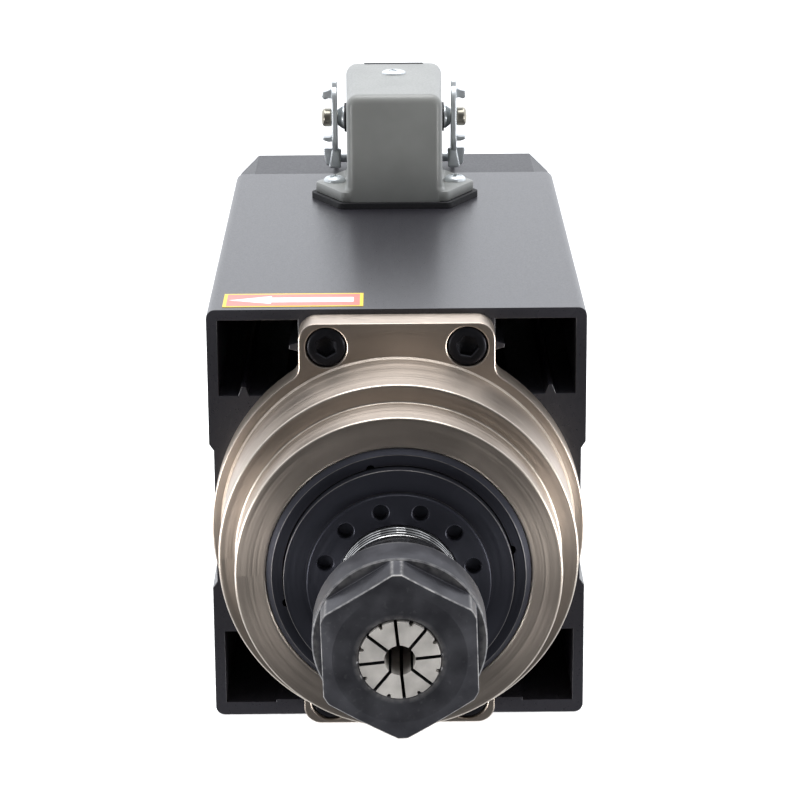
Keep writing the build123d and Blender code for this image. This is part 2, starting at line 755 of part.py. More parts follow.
# ---------------------------------------------------------------- rear end shield and preload
def make_end_shield():
    """The rear end shield: spigot with rim, web and bearing hub, and an eared clamping plate."""
    spigot_r = STATOR_R - SLIP
    hub_r = REAR_BEARING_R + SHIELD_HUB
    rim_r = spigot_r - SHIELD_RIM
    shoulder = SHIELD_BACK - SHIELD_SHOULDER
    outline = [
        (SHIELD_FRONT, REAR_BEARING_R),
        (SHIELD_FRONT, hub_r),
        (BODY_REAR, hub_r),
        (BODY_REAR, rim_r),
        (SHIELD_FRONT, rim_r),
        (SHIELD_FRONT, spigot_r),
        (SHIELD_BACK, spigot_r),
        (SHIELD_BACK, SHIELD_HOLE_R),
        (shoulder, SHIELD_HOLE_R),
        (shoulder, REAR_BEARING_R),
    ]
    with BuildPart() as shield:
        plate = eared_outline(SHIELD_BACK, 2 * (EAR_TOP - SHIELD_EAR_INSET), SHIELD_DISC_R)
        extrude(plate, amount=SHIELD_PLATE)
        with BuildSketch(cross(SHIELD_BACK)):
            Circle(spigot_r)
        extrude(amount=SHIELD_PLATE, mode=Mode.SUBTRACT)
        add(turned(outline))
        with Locations(cross_back(SHIELD_BACK)):
            with GridLocations(2 * EAR_SCREW_X, 2 * EAR_SCREW_Z, 2, 2):
                Hole(CAP_SHANK_R + EASE, depth=SHIELD_PLATE)
    return shield.part


def make_preload_spring():
    """A coned disc spring between the rear bearing's outer ring and the shield's shoulder."""
    rim_r = REAR_BEARING_R - EASE
    end = REAR_BEARING_END + SPRING_HEIGHT
    outline = [
        (REAR_BEARING_END, rim_r),
        (REAR_BEARING_END + SPRING_THICK, rim_r),
        (end, SPRING_HOLE_R),
        (end - SPRING_THICK, SPRING_HOLE_R),
    ]
    return turned(outline)


# ---------------------------------------------------------------- fan
def blade_section(angle):
    """A thin curved blade section inside the hub, on a plane that faces out along the blade."""
    out_x = cos(radians(angle))
    out_z = sin(radians(angle))
    along = cos(radians(BLADE_PITCH))
    around = sin(radians(BLADE_PITCH))
    root = FAN_HUB_R - BLADE_THICK
    origin = (root * out_x, FAN_START + FAN_WIDTH / 2, root * out_z)
    plane = Plane(origin=origin, x_dir=(-around * out_z, along, around * out_x), z_dir=(out_x, 0, out_z))
    half = BLADE_CHORD / 2
    far = BLADE_CAMBER + BLADE_THICK
    with BuildSketch(plane) as section:
        with BuildLine():
            ThreePointArc((-half, 0), (0, BLADE_CAMBER), (half, 0))
            Line((half, 0), (half, BLADE_THICK))
            ThreePointArc((half, BLADE_THICK), (0, far), (-half, BLADE_THICK))
            Line((-half, BLADE_THICK), (-half, 0))
        make_face()
    return section.sketch


def make_fan():
    """The cooling fan: a hub with curved, pitched blades that push air along the body's ducts."""
    with BuildPart() as fan:
        with BuildSketch(cross(FAN_END)):
            Circle(FAN_HUB_R)
        extrude(amount=FAN_WIDTH)
        for blade in range(FAN_BLADES):
            section = blade_section(360 * blade / FAN_BLADES)
            extrude(section, amount=FAN_TIP_R - FAN_HUB_R + BLADE_THICK)
        with BuildSketch(cross(FAN_END)):
            Circle(FAN_SEAT_R)
        extrude(amount=FAN_WIDTH, mode=Mode.SUBTRACT)
    return fan.part


def make_fan_screw():
    """The screw that holds the fan on the shaft's end."""
    head = FAN_END + WASHER_THICK
    outline = [
        (FAN_END - FAN_SCREW_DEPTH, 0),
        (FAN_END - FAN_SCREW_DEPTH, FAN_SCREW_R),
        (head, FAN_SCREW_R),
        (head, FAN_SCREW_HEAD_R),
        (head + FAN_SCREW_HEAD / 2, FAN_SCREW_HEAD_R),
        (head + FAN_SCREW_HEAD, FAN_SCREW_HEAD_R / 2),
        (head + FAN_SCREW_HEAD, 0),
    ]
    return turned(outline)


# ---------------------------------------------------------------- fan cowl
def make_cowl():
    """The rear cowl: a cornered shell, screw posts, and a ring grille in its end wall."""
    inner_end = COWL_END - COWL_WALL
    with BuildPart() as cowl:
        with BuildSketch(cross_back(BODY_REAR)) as shell:
            Rectangle(BODY_WIDTH, BODY_HEIGHT)
            chamfer(shell.vertices(), COWL_CORNER)
        extrude(amount=COWL_LENGTH)
        chamfer(cowl.faces().sort_by(Axis.Y)[-1].edges(), COWL_EDGE)
        with BuildSketch(cross_back(BODY_REAR)) as hollow:
            Rectangle(BODY_WIDTH, BODY_HEIGHT)
            chamfer(hollow.vertices(), COWL_CORNER)
            offset(amount=-COWL_WALL, kind=Kind.INTERSECTION, mode=Mode.REPLACE)
        extrude(amount=COWL_LENGTH - COWL_WALL, mode=Mode.SUBTRACT)
        with BuildSketch(cross_back(SHIELD_BACK)):
            with GridLocations(2 * EAR_SCREW_X, 2 * EAR_SCREW_Z, 2, 2):
                Circle(POST_R)
        extrude(amount=inner_end - SHIELD_BACK)
        with Locations(cross_back(COWL_END)):
            with GridLocations(2 * EAR_SCREW_X, 2 * EAR_SCREW_Z, 2, 2):
                CounterBoreHole(CAP_SHANK_R + EASE, CAP_R + EASE, CAP_POCKET, depth=COWL_LENGTH)
        with BuildSketch(cross_back(COWL_END)):
            for step in reversed(range(GRILLE_RINGS)):
                inner_r = GRILLE_HUB_R + step * (GRILLE_SLOT + GRILLE_BAR)
                Circle(inner_r + GRILLE_SLOT)
                Circle(inner_r, mode=Mode.SUBTRACT)
            with PolarLocations(FAN_TIP_R / 2, GRILLE_SPOKES):
                Rectangle(2 * FAN_TIP_R, GRILLE_SPOKE, mode=Mode.SUBTRACT)
        extrude(amount=-COWL_WALL, mode=Mode.SUBTRACT)
    return cowl.part


# ---------------------------------------------------------------- connector
def flange_outline(z, rim):
    """The connector's six-sided foot, at height z, grown by rim all round."""
    half_end = FLANGE_END / 2
    half_point = FLANGE_POINT / 2
    half_length = FLANGE_LENGTH / 2
    with BuildSketch(level(z)) as foot:
        with Locations((0, FLANGE_Y)):
            Polygon(
                (-half_end, -half_length),
                (half_end, -half_length),
                (half_point, 0),
                (half_end, half_length),
                (-half_end, half_length),
                (-half_point, 0),
            )
        fillet(foot.vertices(), FLANGE_R)
        if rim:
            offset(amount=rim)
    return foot.sketch


def make_gasket():
    """The rubber gasket under the connector, a little larger than its foot."""
    with BuildPart() as gasket:
        extrude(flange_outline(TOP, GASKET_RIM), amount=GASKET_THICK)
        with Locations((0, FLANGE_Y, GASKET_TOP)):
            Hole(CABLE_HOLE_R, depth=GASKET_THICK)
            with GridLocations(CONNECTOR_SCREWS, 0, 2, 1):
                Hole(CONNECTOR_SCREW_R + EASE, depth=GASKET_THICK)
    return gasket.part


def make_connector_housing():
    """The die-cast angled inlet: six-sided foot and a rounded hood whose mouth faces the rear."""
    middle_z = (HOOD_BOTTOM + HOOD_TOP) / 2
    height = HOOD_TOP - HOOD_BOTTOM
    mouth = cross_back(MOUTH_Y)
    with BuildPart() as housing:
        with BuildSketch(cross(MOUTH_Y)) as section:
            with Locations((0, middle_z)):
                Rectangle(HOOD_WIDTH, height)
            fillet(section.vertices().group_by(Axis.Y)[-1], HOOD_TOP_R)
            fillet(section.vertices().group_by(Axis.Y)[0], HOOD_EDGE_R)
        extrude(amount=HOOD_LENGTH)
        fillet(housing.faces().sort_by(Axis.Y)[0].edges(), HOOD_EDGE_R)
        extrude(flange_outline(GASKET_TOP, 0), amount=FLANGE_THICK)
        with BuildSketch(level(GASKET_TOP)):
            with Locations((0, HOOD_Y + FLANGE_LENGTH / 2)):
                Rectangle(HOOD_WIDTH - 2 * HOOD_EDGE_R, FLANGE_LENGTH - 2 * HOOD_EDGE_R)
        extrude(amount=FLANGE_THICK + HOOD_WALL)
        with BuildSketch(mouth):
            with Locations((0, middle_z)):
                RectangleRounded(HOOD_WIDTH - 2 * HOOD_WALL, height - 2 * HOOD_WALL, MOUTH_R)
        extrude(amount=-MOUTH_DEPTH, mode=Mode.SUBTRACT)
        with BuildSketch(level(GASKET_TOP)):
            with Locations((0, FLANGE_Y)):
                Circle(LEAD_HOLE_R)
        extrude(amount=middle_z - GASKET_TOP, mode=Mode.SUBTRACT)
        with Locations((0, FLANGE_Y, FLANGE_TOP)):
            with GridLocations(CONNECTOR_SCREWS, 0, 2, 1):
                Hole(CONNECTOR_SCREW_R + EASE, depth=FLANGE_THICK)
        with Locations((0, MOUTH_Y - INSERT_SCREW_BACK, HOOD_TOP)):
            Hole(INSERT_SCREW_R + EASE, depth=HOOD_WALL + EASE)
        for side in (-1, 1):
            with Locations(peg_plane(side, HOOD_WIDTH / 2)):
                Hole(PEG_R, depth=PEG_ROOT)
    return housing.part


def make_connector_screws():
    """Two pan head screws through the connector's foot."""
    with BuildPart() as screws:
        with BuildSketch(level(FLANGE_TOP)):
            with Locations((0, FLANGE_Y)):
                with GridLocations(CONNECTOR_SCREWS, 0, 2, 1):
                    Circle(PAN_R)
        extrude(amount=PAN_HEIGHT)
        chamfer(screws.faces().group_by(Axis.Z)[-1].edges(), PAN_BEVEL)
        with BuildSketch(level(TOP - SCREW_BITE)):
            with Locations((0, FLANGE_Y)):
                with GridLocations(CONNECTOR_SCREWS, 0, 2, 1):
                    Circle(CONNECTOR_SCREW_R)
        extrude(amount=FLANGE_TOP - TOP + SCREW_BITE)
    return screws.part


def pin_places():
    """The contact pins' places in the insert: a circle of equal steps, turned to stand square."""
    return PolarLocations(PIN_PITCH_R, PINS, start_angle=180 / PINS)


def make_insert():
    """The moulded contact block inside the hood."""
    middle_z = (HOOD_BOTTOM + HOOD_TOP) / 2
    face = MOUTH_Y - INSERT_DEPTH
    width = HOOD_WIDTH - 2 * HOOD_WALL - 2 * SLIP
    height = HOOD_TOP - HOOD_BOTTOM - 2 * HOOD_WALL - 2 * SLIP
    with BuildPart() as insert:
        with BuildSketch(cross_back(face)):
            with Locations((0, middle_z)):
                RectangleRounded(width, height, MOUTH_R)
                with pin_places():
                    Circle(PIN_R, mode=Mode.SUBTRACT)
        extrude(amount=-INSERT_LENGTH)
        with Locations((0, MOUTH_Y - INSERT_SCREW_BACK, middle_z + height / 2)):
            Hole(INSERT_SCREW_R, depth=INSERT_SCREW_BITE)
    return insert.part


def make_pins():
    """The contact pins, standing out of the insert towards the mouth."""
    middle_z = (HOOD_BOTTOM + HOOD_TOP) / 2
    tip = MOUTH_Y - INSERT_DEPTH + PIN_PROUD
    with BuildPart() as pins:
        with BuildSketch(cross_back(tip)):
            with Locations((0, middle_z)):
                with pin_places():
                    Circle(PIN_R)
        extrude(amount=-(PIN_PROUD + INSERT_LENGTH + PIN_TAIL))
    return pins.part


def make_insert_screw():
    """The low round screw on top of the hood that holds the contact block."""
    insert_top = HOOD_TOP - HOOD_WALL - SLIP
    with BuildPart() as screw:
        with BuildSketch(level(HOOD_TOP)):
            with Locations((0, MOUTH_Y - INSERT_SCREW_BACK)):
                Circle(INSERT_SCREW_HEAD_R)
        extrude(amount=INSERT_SCREW_HEAD)
        chamfer(screw.faces().sort_by(Axis.Z)[-1].edges(), INSERT_SCREW_BEVEL)
        with BuildSketch(level(HOOD_TOP)):
            with Locations((0, MOUTH_Y - INSERT_SCREW_BACK)):
                Circle(INSERT_SCREW_R)
        extrude(amount=insert_top - INSERT_SCREW_BITE - HOOD_TOP)
    return screw.part


# ---------------------------------------------------------------- locking lever
def peg_plane(side, x):
    """A plane at distance x to one side, centred on the lever's pivot and facing outwards."""
    return Plane(origin=(side * x, PIVOT_Y, PIVOT_Z), x_dir=(0, 1, 0), z_dir=(side, 0, 0))


def both_sides(start, end, radius):
    """A round disc or pin on the pivot line, one on each side of the hood."""
    with BuildPart() as pair:
        for side in (-1, 1):
            with BuildSketch(peg_plane(side, start)):
                Circle(radius)
            extrude(amount=end - start)
    return pair.part


def make_pegs():
    """The two headed pivot pegs, set in the hood's side walls."""
    head_start = LEVER_INSIDE + LEVER_SHEET + SIDE_PLAY
    with BuildPart() as pegs:
        add(both_sides(HOOD_WIDTH / 2 - PEG_ROOT, head_start, PEG_R))
        add(both_sides(head_start, head_start + PEG_HEAD, PEG_HEAD_R))
    return pegs.part


def collars(start, end, radius):
    """A pair of rings on the pegs, such as the washers and the bushes."""
    with BuildPart() as pair:
        add(both_sides(start, end, radius))
        add(both_sides(start, end, PEG_R), mode=Mode.SUBTRACT)
    return pair.part


def make_lever():
    """The sheet-metal bail: two rocker plates with tabs, hook notches and arms, joined by a bar."""
    outside = LEVER_INSIDE + LEVER_SHEET
    arm = radians(LEVER_REST)
    bar_y = LEVER_REACH * cos(arm)
    bar_z = LEVER_REACH * sin(arm)
    with BuildPart() as lever:
        for side in (-1, 1):
            with BuildSketch(upright(side * LEVER_INSIDE, PIVOT_Y, PIVOT_Z)):
                RectangleRounded(ROCKER_WIDTH, 2 * ROCKER_HALF, ROCKER_WIDTH / 2 - SLIP)
                with Locations(Location((bar_y / 2, bar_z / 2), LEVER_REST)):
                    Rectangle(LEVER_REACH, ARM_WIDTH)
                with Locations((bar_y, bar_z)):
                    Circle(ARM_WIDTH / 2)
                Circle(PEG_R + SLIP, mode=Mode.SUBTRACT)
            extrude(amount=side * LEVER_SHEET)
            for up in (LUG_UP, -HOOK_DOWN):
                with Locations((side * (outside + LUG_REACH / 2), PIVOT_Y, PIVOT_Z + up)):
                    Box(LUG_REACH + LEVER_SHEET, LUG_LENGTH, LUG_THICK)
            middle_x = side * (LEVER_INSIDE + outside) / 2
            foot_top = PIVOT_Z - ROCKER_HALF + LEVER_SHEET
            with BuildSketch(cross(PIVOT_Y + FOOT_TAB_LENGTH / 2)):
                with Locations((middle_x, foot_top - (FOOT_TAB_HEIGHT + LEVER_SHEET) / 2)):
                    Trapezoid(FOOT_TAB_BASE, FOOT_TAB_HEIGHT + LEVER_SHEET, FOOT_TAB_SLOPE)
            extrude(amount=FOOT_TAB_LENGTH)
        with BuildSketch(upright(-LEVER_INSIDE, PIVOT_Y + bar_y, PIVOT_Z + bar_z)):
            Circle(BAR_R)
        extrude(amount=2 * LEVER_INSIDE)
    return lever.part


# ---------------------------------------------------------------- write the pieces
os.makedirs("parts", exist_ok=True)

front_pitch_r = (FRONT_OUTER_LAND_R + FRONT_INNER_LAND_R) / 2
rear_pitch_r = (REAR_OUTER_LAND_R + REAR_INNER_LAND_R) / 2

save(make_body(), "body_extrusion")
save(make_front_housing(), "front_housing")
save(cap_screws(EAR_FACE + CAP_POCKET - CAP_HEIGHT, BODY_FRONT + CAP_GRIP), "flange_screws")
save(make_retainer(), "bearing_retainer")
save(turned(ring(FIRST_BEARING_END, SECOND_BEARING, FRONT_OUTER_LAND_R, FRONT_BEARING_R)), "outer_spacer")
save(turned(ring(FIRST_BEARING_END, SECOND_BEARING, FRONT_SEAT_R, FRONT_INNER_LAND_R)), "inner_spacer")
for name, start in (("first", FIRST_BEARING), ("second", SECOND_BEARING)):
    outer = race(start, FRONT_RACE_WIDTH, FRONT_OUTER_LAND_R, FRONT_BEARING_R, front_pitch_r, FRONT_BALL_R)
    inner = race(start, FRONT_RACE_WIDTH, FRONT_SEAT_R, FRONT_INNER_LAND_R, front_pitch_r, FRONT_BALL_R)
    save(outer, f"{name}_bearing_outer_ring")
    save(inner, f"{name}_bearing_inner_ring")
save(
    race(REAR_BEARING, REAR_RACE_WIDTH, REAR_OUTER_LAND_R, REAR_BEARING_R, rear_pitch_r, REAR_BALL_R),
    "rear_bearing_outer_ring",
)
save(
    race(REAR_BEARING, REAR_RACE_WIDTH, REAR_SEAT_R, REAR_INNER_LAND_R, rear_pitch_r, REAR_BALL_R),
    "rear_bearing_inner_ring",
)
save(make_collet(), "collet")
save(make_nut(), "clamping_nut")
save(make_shaft(), "spindle_shaft")
save(make_balance_ring(), "balance_ring")
save(turned(ring(CORE_START, CORE_END, ROTOR_SEAT_R, ROTOR_R)), "rotor_core")
save(make_rotor_end_rings(), "rotor_end_rings")
save(make_stator_core(), "stator_core")
save(make_windings(), "stator_windings")
save(make_end_shield(), "rear_end_shield")
save(make_preload_spring(), "preload_spring")
save(make_fan(), "cooling_fan")
save(turned(ring(FAN_END, FAN_END + WASHER_THICK, FAN_SCREW_R, WASHER_R)), "fan_washer")
save(make_fan_screw(), "fan_screw")
save(make_cowl(), "fan_cowl")
save(cap_screws(COWL_END - CAP_POCKET + CAP_HEIGHT, BODY_REAR - CAP_GRIP), "cowl_screws")
save(make_gasket(), "connector_gasket")
save(make_connector_housing(), "connector_housing")
save(make_connector_screws(), "connector_screws")
save(make_insert(), "contact_insert")
save(make_pins(), "contact_pins")
save(make_insert_screw(), "insert_screw")
save(make_pegs(), "lever_pegs")
washer_end = HOOD_WIDTH / 2 + PEG_WASHER
save(collars(HOOD_WIDTH / 2, washer_end, PEG_WASHER_R), "peg_washers")
save(collars(washer_end, LEVER_INSIDE - SIDE_PLAY, BUSH_R), "peg_bushes")
save(make_lever(), "locking_lever")
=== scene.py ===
# %% [markdown]
# # An air-cooled milling spindle
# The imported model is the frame: every piece here is in metres, in the same places as the solids.
# The spindle axis is the Y axis and its zero is the collet's face, so nearly every piece can be
# written as stations along Y and radii from the axis.

# %% Load the frame
from math import cos, pi, radians, sin, tan

import bmesh
import bpy
import numpy as np
from mathutils import Matrix, Vector


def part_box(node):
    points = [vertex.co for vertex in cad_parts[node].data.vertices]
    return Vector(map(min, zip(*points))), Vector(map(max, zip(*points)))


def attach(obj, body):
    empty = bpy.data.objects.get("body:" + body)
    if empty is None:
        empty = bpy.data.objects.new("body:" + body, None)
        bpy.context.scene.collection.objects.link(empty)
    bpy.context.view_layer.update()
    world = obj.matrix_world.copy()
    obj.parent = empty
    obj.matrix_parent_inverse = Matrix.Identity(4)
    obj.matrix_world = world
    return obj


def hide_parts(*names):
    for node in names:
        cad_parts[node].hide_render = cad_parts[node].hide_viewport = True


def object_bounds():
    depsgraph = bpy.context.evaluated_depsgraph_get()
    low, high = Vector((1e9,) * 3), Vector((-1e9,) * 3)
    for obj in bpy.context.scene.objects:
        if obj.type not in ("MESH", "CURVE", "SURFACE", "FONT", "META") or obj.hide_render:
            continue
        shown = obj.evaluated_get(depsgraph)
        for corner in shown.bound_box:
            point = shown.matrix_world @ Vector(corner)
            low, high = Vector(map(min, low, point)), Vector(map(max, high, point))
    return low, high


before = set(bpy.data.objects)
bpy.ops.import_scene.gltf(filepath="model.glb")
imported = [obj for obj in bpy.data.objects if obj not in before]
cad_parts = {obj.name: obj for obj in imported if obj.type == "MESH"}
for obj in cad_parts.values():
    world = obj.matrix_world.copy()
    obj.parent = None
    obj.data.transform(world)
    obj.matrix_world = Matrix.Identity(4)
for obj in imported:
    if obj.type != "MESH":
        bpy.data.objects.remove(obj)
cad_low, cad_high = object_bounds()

MM = 0.001
print("loaded", len(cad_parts), "solids")

# %% [markdown]
# ## Camera
# A long lens a little above the spindle looks back along it and slightly down. The camera is made
# first, so that everything after it can be judged in its view.

# %% Camera
LENS = 131.71                       # millimetres, on a 36 mm sensor
CAMERA_PLACE = Vector((-0.0010, -0.52156, 0.20824))
PITCH, YAW, ROLL = radians(16.679), radians(0.153), radians(0.430)

ahead = Vector((sin(YAW) * cos(PITCH), cos(YAW) * cos(PITCH), -sin(PITCH)))
level_right = Vector((cos(YAW), -sin(YAW), 0))
level_up = level_right.cross(ahead)
right = level_right * cos(ROLL) - level_up * sin(ROLL)
up = level_right * sin(ROLL) + level_up * cos(ROLL)

camera_data = bpy.data.cameras.new("camera")
camera_data.lens = LENS
camera_data.sensor_width = 36
camera_data.clip_start = 0.01
camera = bpy.data.objects.new("camera", camera_data)
camera.matrix_world = Matrix.Translation(CAMERA_PLACE) @ Matrix((right, up, -ahead)).transposed().to_4x4()
bpy.context.scene.collection.objects.link(camera)
bpy.context.scene.camera = camera
print("camera at", tuple(camera.location))

# %% [markdown]
# ## Light and floor
# A white studio table: a pale floor, a surround that is bright behind, above and beside, and a dark
# room in front, which is what makes the front faces deep. Two tall soft boxes at the sides draw the light
# bands along the turned rings. Polished faces look past the floor into the surround, so that the
# front ones meet the dark room and not the white paper.

# %% Surround
world = bpy.data.worlds.new("white_studio")
bpy.context.scene.world = world
world.use_nodes = True
sky, sky_links = world.node_tree.nodes, world.node_tree.links
background = sky["Background"]
direction = sky.new("ShaderNodeTexCoord")
split = sky.new("ShaderNodeSeparateXYZ")
fade = sky.new("ShaderNodeMapRange")
fade.interpolation_type = "SMOOTHSTEP"
for socket, value in (("From Min", -0.95), ("From Max", 0.35), ("To Min", 0.09), ("To Max", 1.55)):
    fade.inputs[socket].default_value = value
sky_links.new(direction.outputs["Generated"], split.inputs[0])
sky_links.new(split.outputs["Y"], fade.inputs["Value"])
sky_links.new(fade.outputs[0], background.inputs["Strength"])
background.inputs["Color"].default_value = (0.93, 0.955, 1.0, 1)
bpy.context.scene.view_settings.view_transform = "Standard"


# %% Soft boxes
def soft_box(name, place, aim, width, height, power, spread=180):
    """An area lamp at a place, turned so that its face looks at the aim point."""
    lamp = bpy.data.lights.new(name, "AREA")
    lamp.shape = "RECTANGLE"
    lamp.size, lamp.size_y, lamp.energy, lamp.spread = width, height, power, radians(spread)
    box = bpy.data.objects.new(name, lamp)
    look = (Vector(aim) - Vector(place)).to_track_quat("-Z", "Y")
    box.matrix_world = Matrix.Translation(place) @ look.to_matrix().to_4x4()
    bpy.context.scene.collection.objects.link(box)
    return box


soft_box("top_box", (0, 0.22, 0.75), (0, 0.16, 0), 0.7, 0.5, 5.0)
soft_box("left_box", (-0.50, -0.33, -0.10), (0, 0.03, -0.015), 0.26, 0.34, 0.19, 34)
soft_box("right_box", (0.50, -0.33, -0.10), (0, 0.03, -0.015), 0.26, 0.34, 0.19, 34)

# %% Floor
# The paper has its own lamp. It lights nothing else and nothing shades it, so the paper stays white.
FLOOR_DROP, FLOOR_REACH = 0.0002, 6.0
floor_z = cad_low[2] - FLOOR_DROP
floor_mesh = bpy.data.meshes.new("floor")
floor_corners = [(x * FLOOR_REACH, y * FLOOR_REACH, floor_z) for x, y in ((-1, -1), (1, -1), (1, 1), (-1, 1))]
floor_mesh.from_pydata(floor_corners, [], [(0, 1, 2, 3)])
floor = bpy.data.objects.new("floor", floor_mesh)
bpy.context.scene.collection.objects.link(floor)
floor_paper = bpy.data.materials.new("floor_paper")
floor_paper.use_nodes = True
paper_shader = floor_paper.node_tree.nodes["Principled BSDF"]
paper_shader.inputs["Base Color"].default_value = (0.93, 0.93, 0.93, 1)
paper_shader.inputs["Roughness"].default_value = 0.9
floor_mesh.materials.append(floor_paper)
floor.visible_glossy = floor.visible_diffuse = floor.visible_shadow = False
paper_lamp = soft_box("paper_lamp", (0, -0.35, 1.0), (0, 0.0, 0), 1.0, 0.8, 16.0)
paper_only = bpy.data.collections.new("paper_only")
paper_only.objects.link(floor)
paper_lamp.light_linking.receiver_collection = paper_only
paper_lamp.light_linking.blocker_collection = paper_only

# %% [markdown]
# ## Tools for shapes
# Most pieces of a spindle come off a lathe or out of a die, so two ways of making a surface are
# enough. An outline can be spun about the axis, or a flat outline with holes can be given a
# thickness. Real machined edges are always broken a little, and that thin bevel is what catches the
# light, so the outline's corners are eased before the surface is made.

# %% Easing an outline's corners
def eased(outline, size, steps=4, closed=False):
    """Ease an outline's corners.

    Each corner C with unit directions a and b to its neighbours becomes the curve
    C + (1 - s)^2 t a + s^2 t b, for s from 0 to 1, where t is the size, or 0.42 of the shorter side
    if that is less. One more point on each side holds the flat next to it flat.
    Returns the new points and how far each is into an edge, from 0 to 1.
    """
    corner = np.asarray(outline, float)
    a = np.roll(corner, 1, 0) - corner
    b = np.roll(corner, -1, 0) - corner
    length_a = np.linalg.norm(a, axis=1, keepdims=True)
    length_b = np.linalg.norm(b, axis=1, keepdims=True)
    t = np.minimum(size, 0.42 * np.minimum(length_a, length_b))
    s = np.linspace(0, 1, steps)[None, :, None]
    a, b, t = (v[:, None, :] for v in (a / length_a, b / length_b, t))
    bend = corner[:, None, :] + (1 - s) ** 2 * t * a + s ** 2 * t * b
    hold_a = corner[:, None, :] + 1.15 * t * a
    hold_b = corner[:, None, :] + 1.15 * t * b
    points = np.concatenate([hold_a, bend, hold_b], 1)
    worn = np.broadcast_to(np.concatenate([[0], (4 * s * (1 - s)).ravel() ** 0.5, [0]]), points.shape[:2])
    if closed:
        return points.reshape(-1, 2), worn.reshape(-1)
    middle = points[1:-1].reshape(-1, 2)
    ends = [corner[:1], middle, corner[-1:]]
    return np.concatenate(ends), np.concatenate([[0], worn[1:-1].reshape(-1), [0]])


# %% Making a mesh from a grid of points
def skin(name, grid, worn=None, close_rows=False, cap=False, sharp=35.0):
    """A surface through a grid of points (rows, columns, 3), joined across its first and last columns.

    Each face is the four corners (i, j), (i, j+1), (i+1, j+1), (i+1, j). close_rows joins the last
    row to the first, and cap fills the first and last rows with one face each. worn is how rubbed
    each row, or each point, is.
    """
    rows, columns = grid.shape[:2]
    index = np.arange(rows * columns).reshape(rows, columns)
    if close_rows:
        index = np.concatenate([index, index[:1]])
    along = np.roll(index, -1, 1)
    faces = np.stack([index[:-1], along[:-1], along[1:], index[1:]], -1).reshape(-1, 4).tolist()
    if cap:
        faces += [index[0][::-1].tolist(), index[-1].tolist()]
    return from_grid(name, grid, faces, np.zeros(rows) if worn is None else worn, sharp)


def from_grid(name, grid, faces, worn, sharp):
    """A piece with a grid's points and these faces. worn is from 0 to 1, for the finishes to read."""
    mesh = bpy.data.meshes.new(name)
    mesh.from_pydata(grid.reshape(-1, 3).tolist(), [], faces)
    by_point = worn if np.ndim(worn) == 2 else np.repeat(worn, grid.shape[1])
    rub = mesh.attributes.new("worn", "FLOAT", "POINT")
    rub.data.foreach_set("value", np.ravel(by_point).astype(np.float32))
    return finish_mesh(name, mesh, sharp)


def finish_mesh(name, mesh, sharp):
    """Close seams and poles, point the faces outwards, and smooth all but the sharp edges."""
    work = bmesh.new()
    work.from_mesh(mesh)
    bmesh.ops.remove_doubles(work, verts=work.verts, dist=1e-7)
    bmesh.ops.dissolve_degenerate(work, edges=work.edges, dist=1e-8)
    bmesh.ops.recalc_face_normals(work, faces=work.faces)
    work.to_mesh(mesh)
    work.free()
    mesh.polygons.foreach_set("use_smooth", np.ones(len(mesh.polygons), bool))
    mesh.set_sharp_from_angle(angle=radians(sharp))
    piece = bpy.data.objects.new(name, mesh)
    bpy.context.scene.collection.objects.link(piece)
    return piece


# %% Spinning an outline about the axis
AROUND = 240


def turns(count):
    """Equally spaced angles round a full turn."""
    return np.linspace(0, 2 * pi, count, endpoint=False)


def lathe(name, outline, ease=0.25):
    """Spin an outline of (station, radius) points, in millimetres, about the Y axis.

    A point (y, r) at the angle a goes to (r sin a, y, r cos a).
    """
    points, worn = eased(outline, ease, closed=True)
    angle = turns(AROUND)
    y, r = points[:, 0, None], points[:, 1, None]
    grid = np.stack([r * np.sin(angle), y + 0 * angle, r * np.cos(angle)], -1) * MM
    return skin(name, grid, worn, close_rows=True)


# %% Giving a flat outline a thickness
def circle(radius, count=96, x=0.0, z=0.0):
    """Points round a circle: centre plus radius times (cos a, sin a)."""
    angle = turns(count)
    return np.stack([x + radius * np.cos(angle), z + radius * np.sin(angle)], 1)


def rectangle(x, y, inset=0):
    """The corners of a rectangle, each side moved inwards by the inset."""
    left, right, front, rear = x[0] + inset, x[1] - inset, y[0] + inset, y[1] - inset
    return [(left, front), (right, front), (right, rear), (left, rear)]


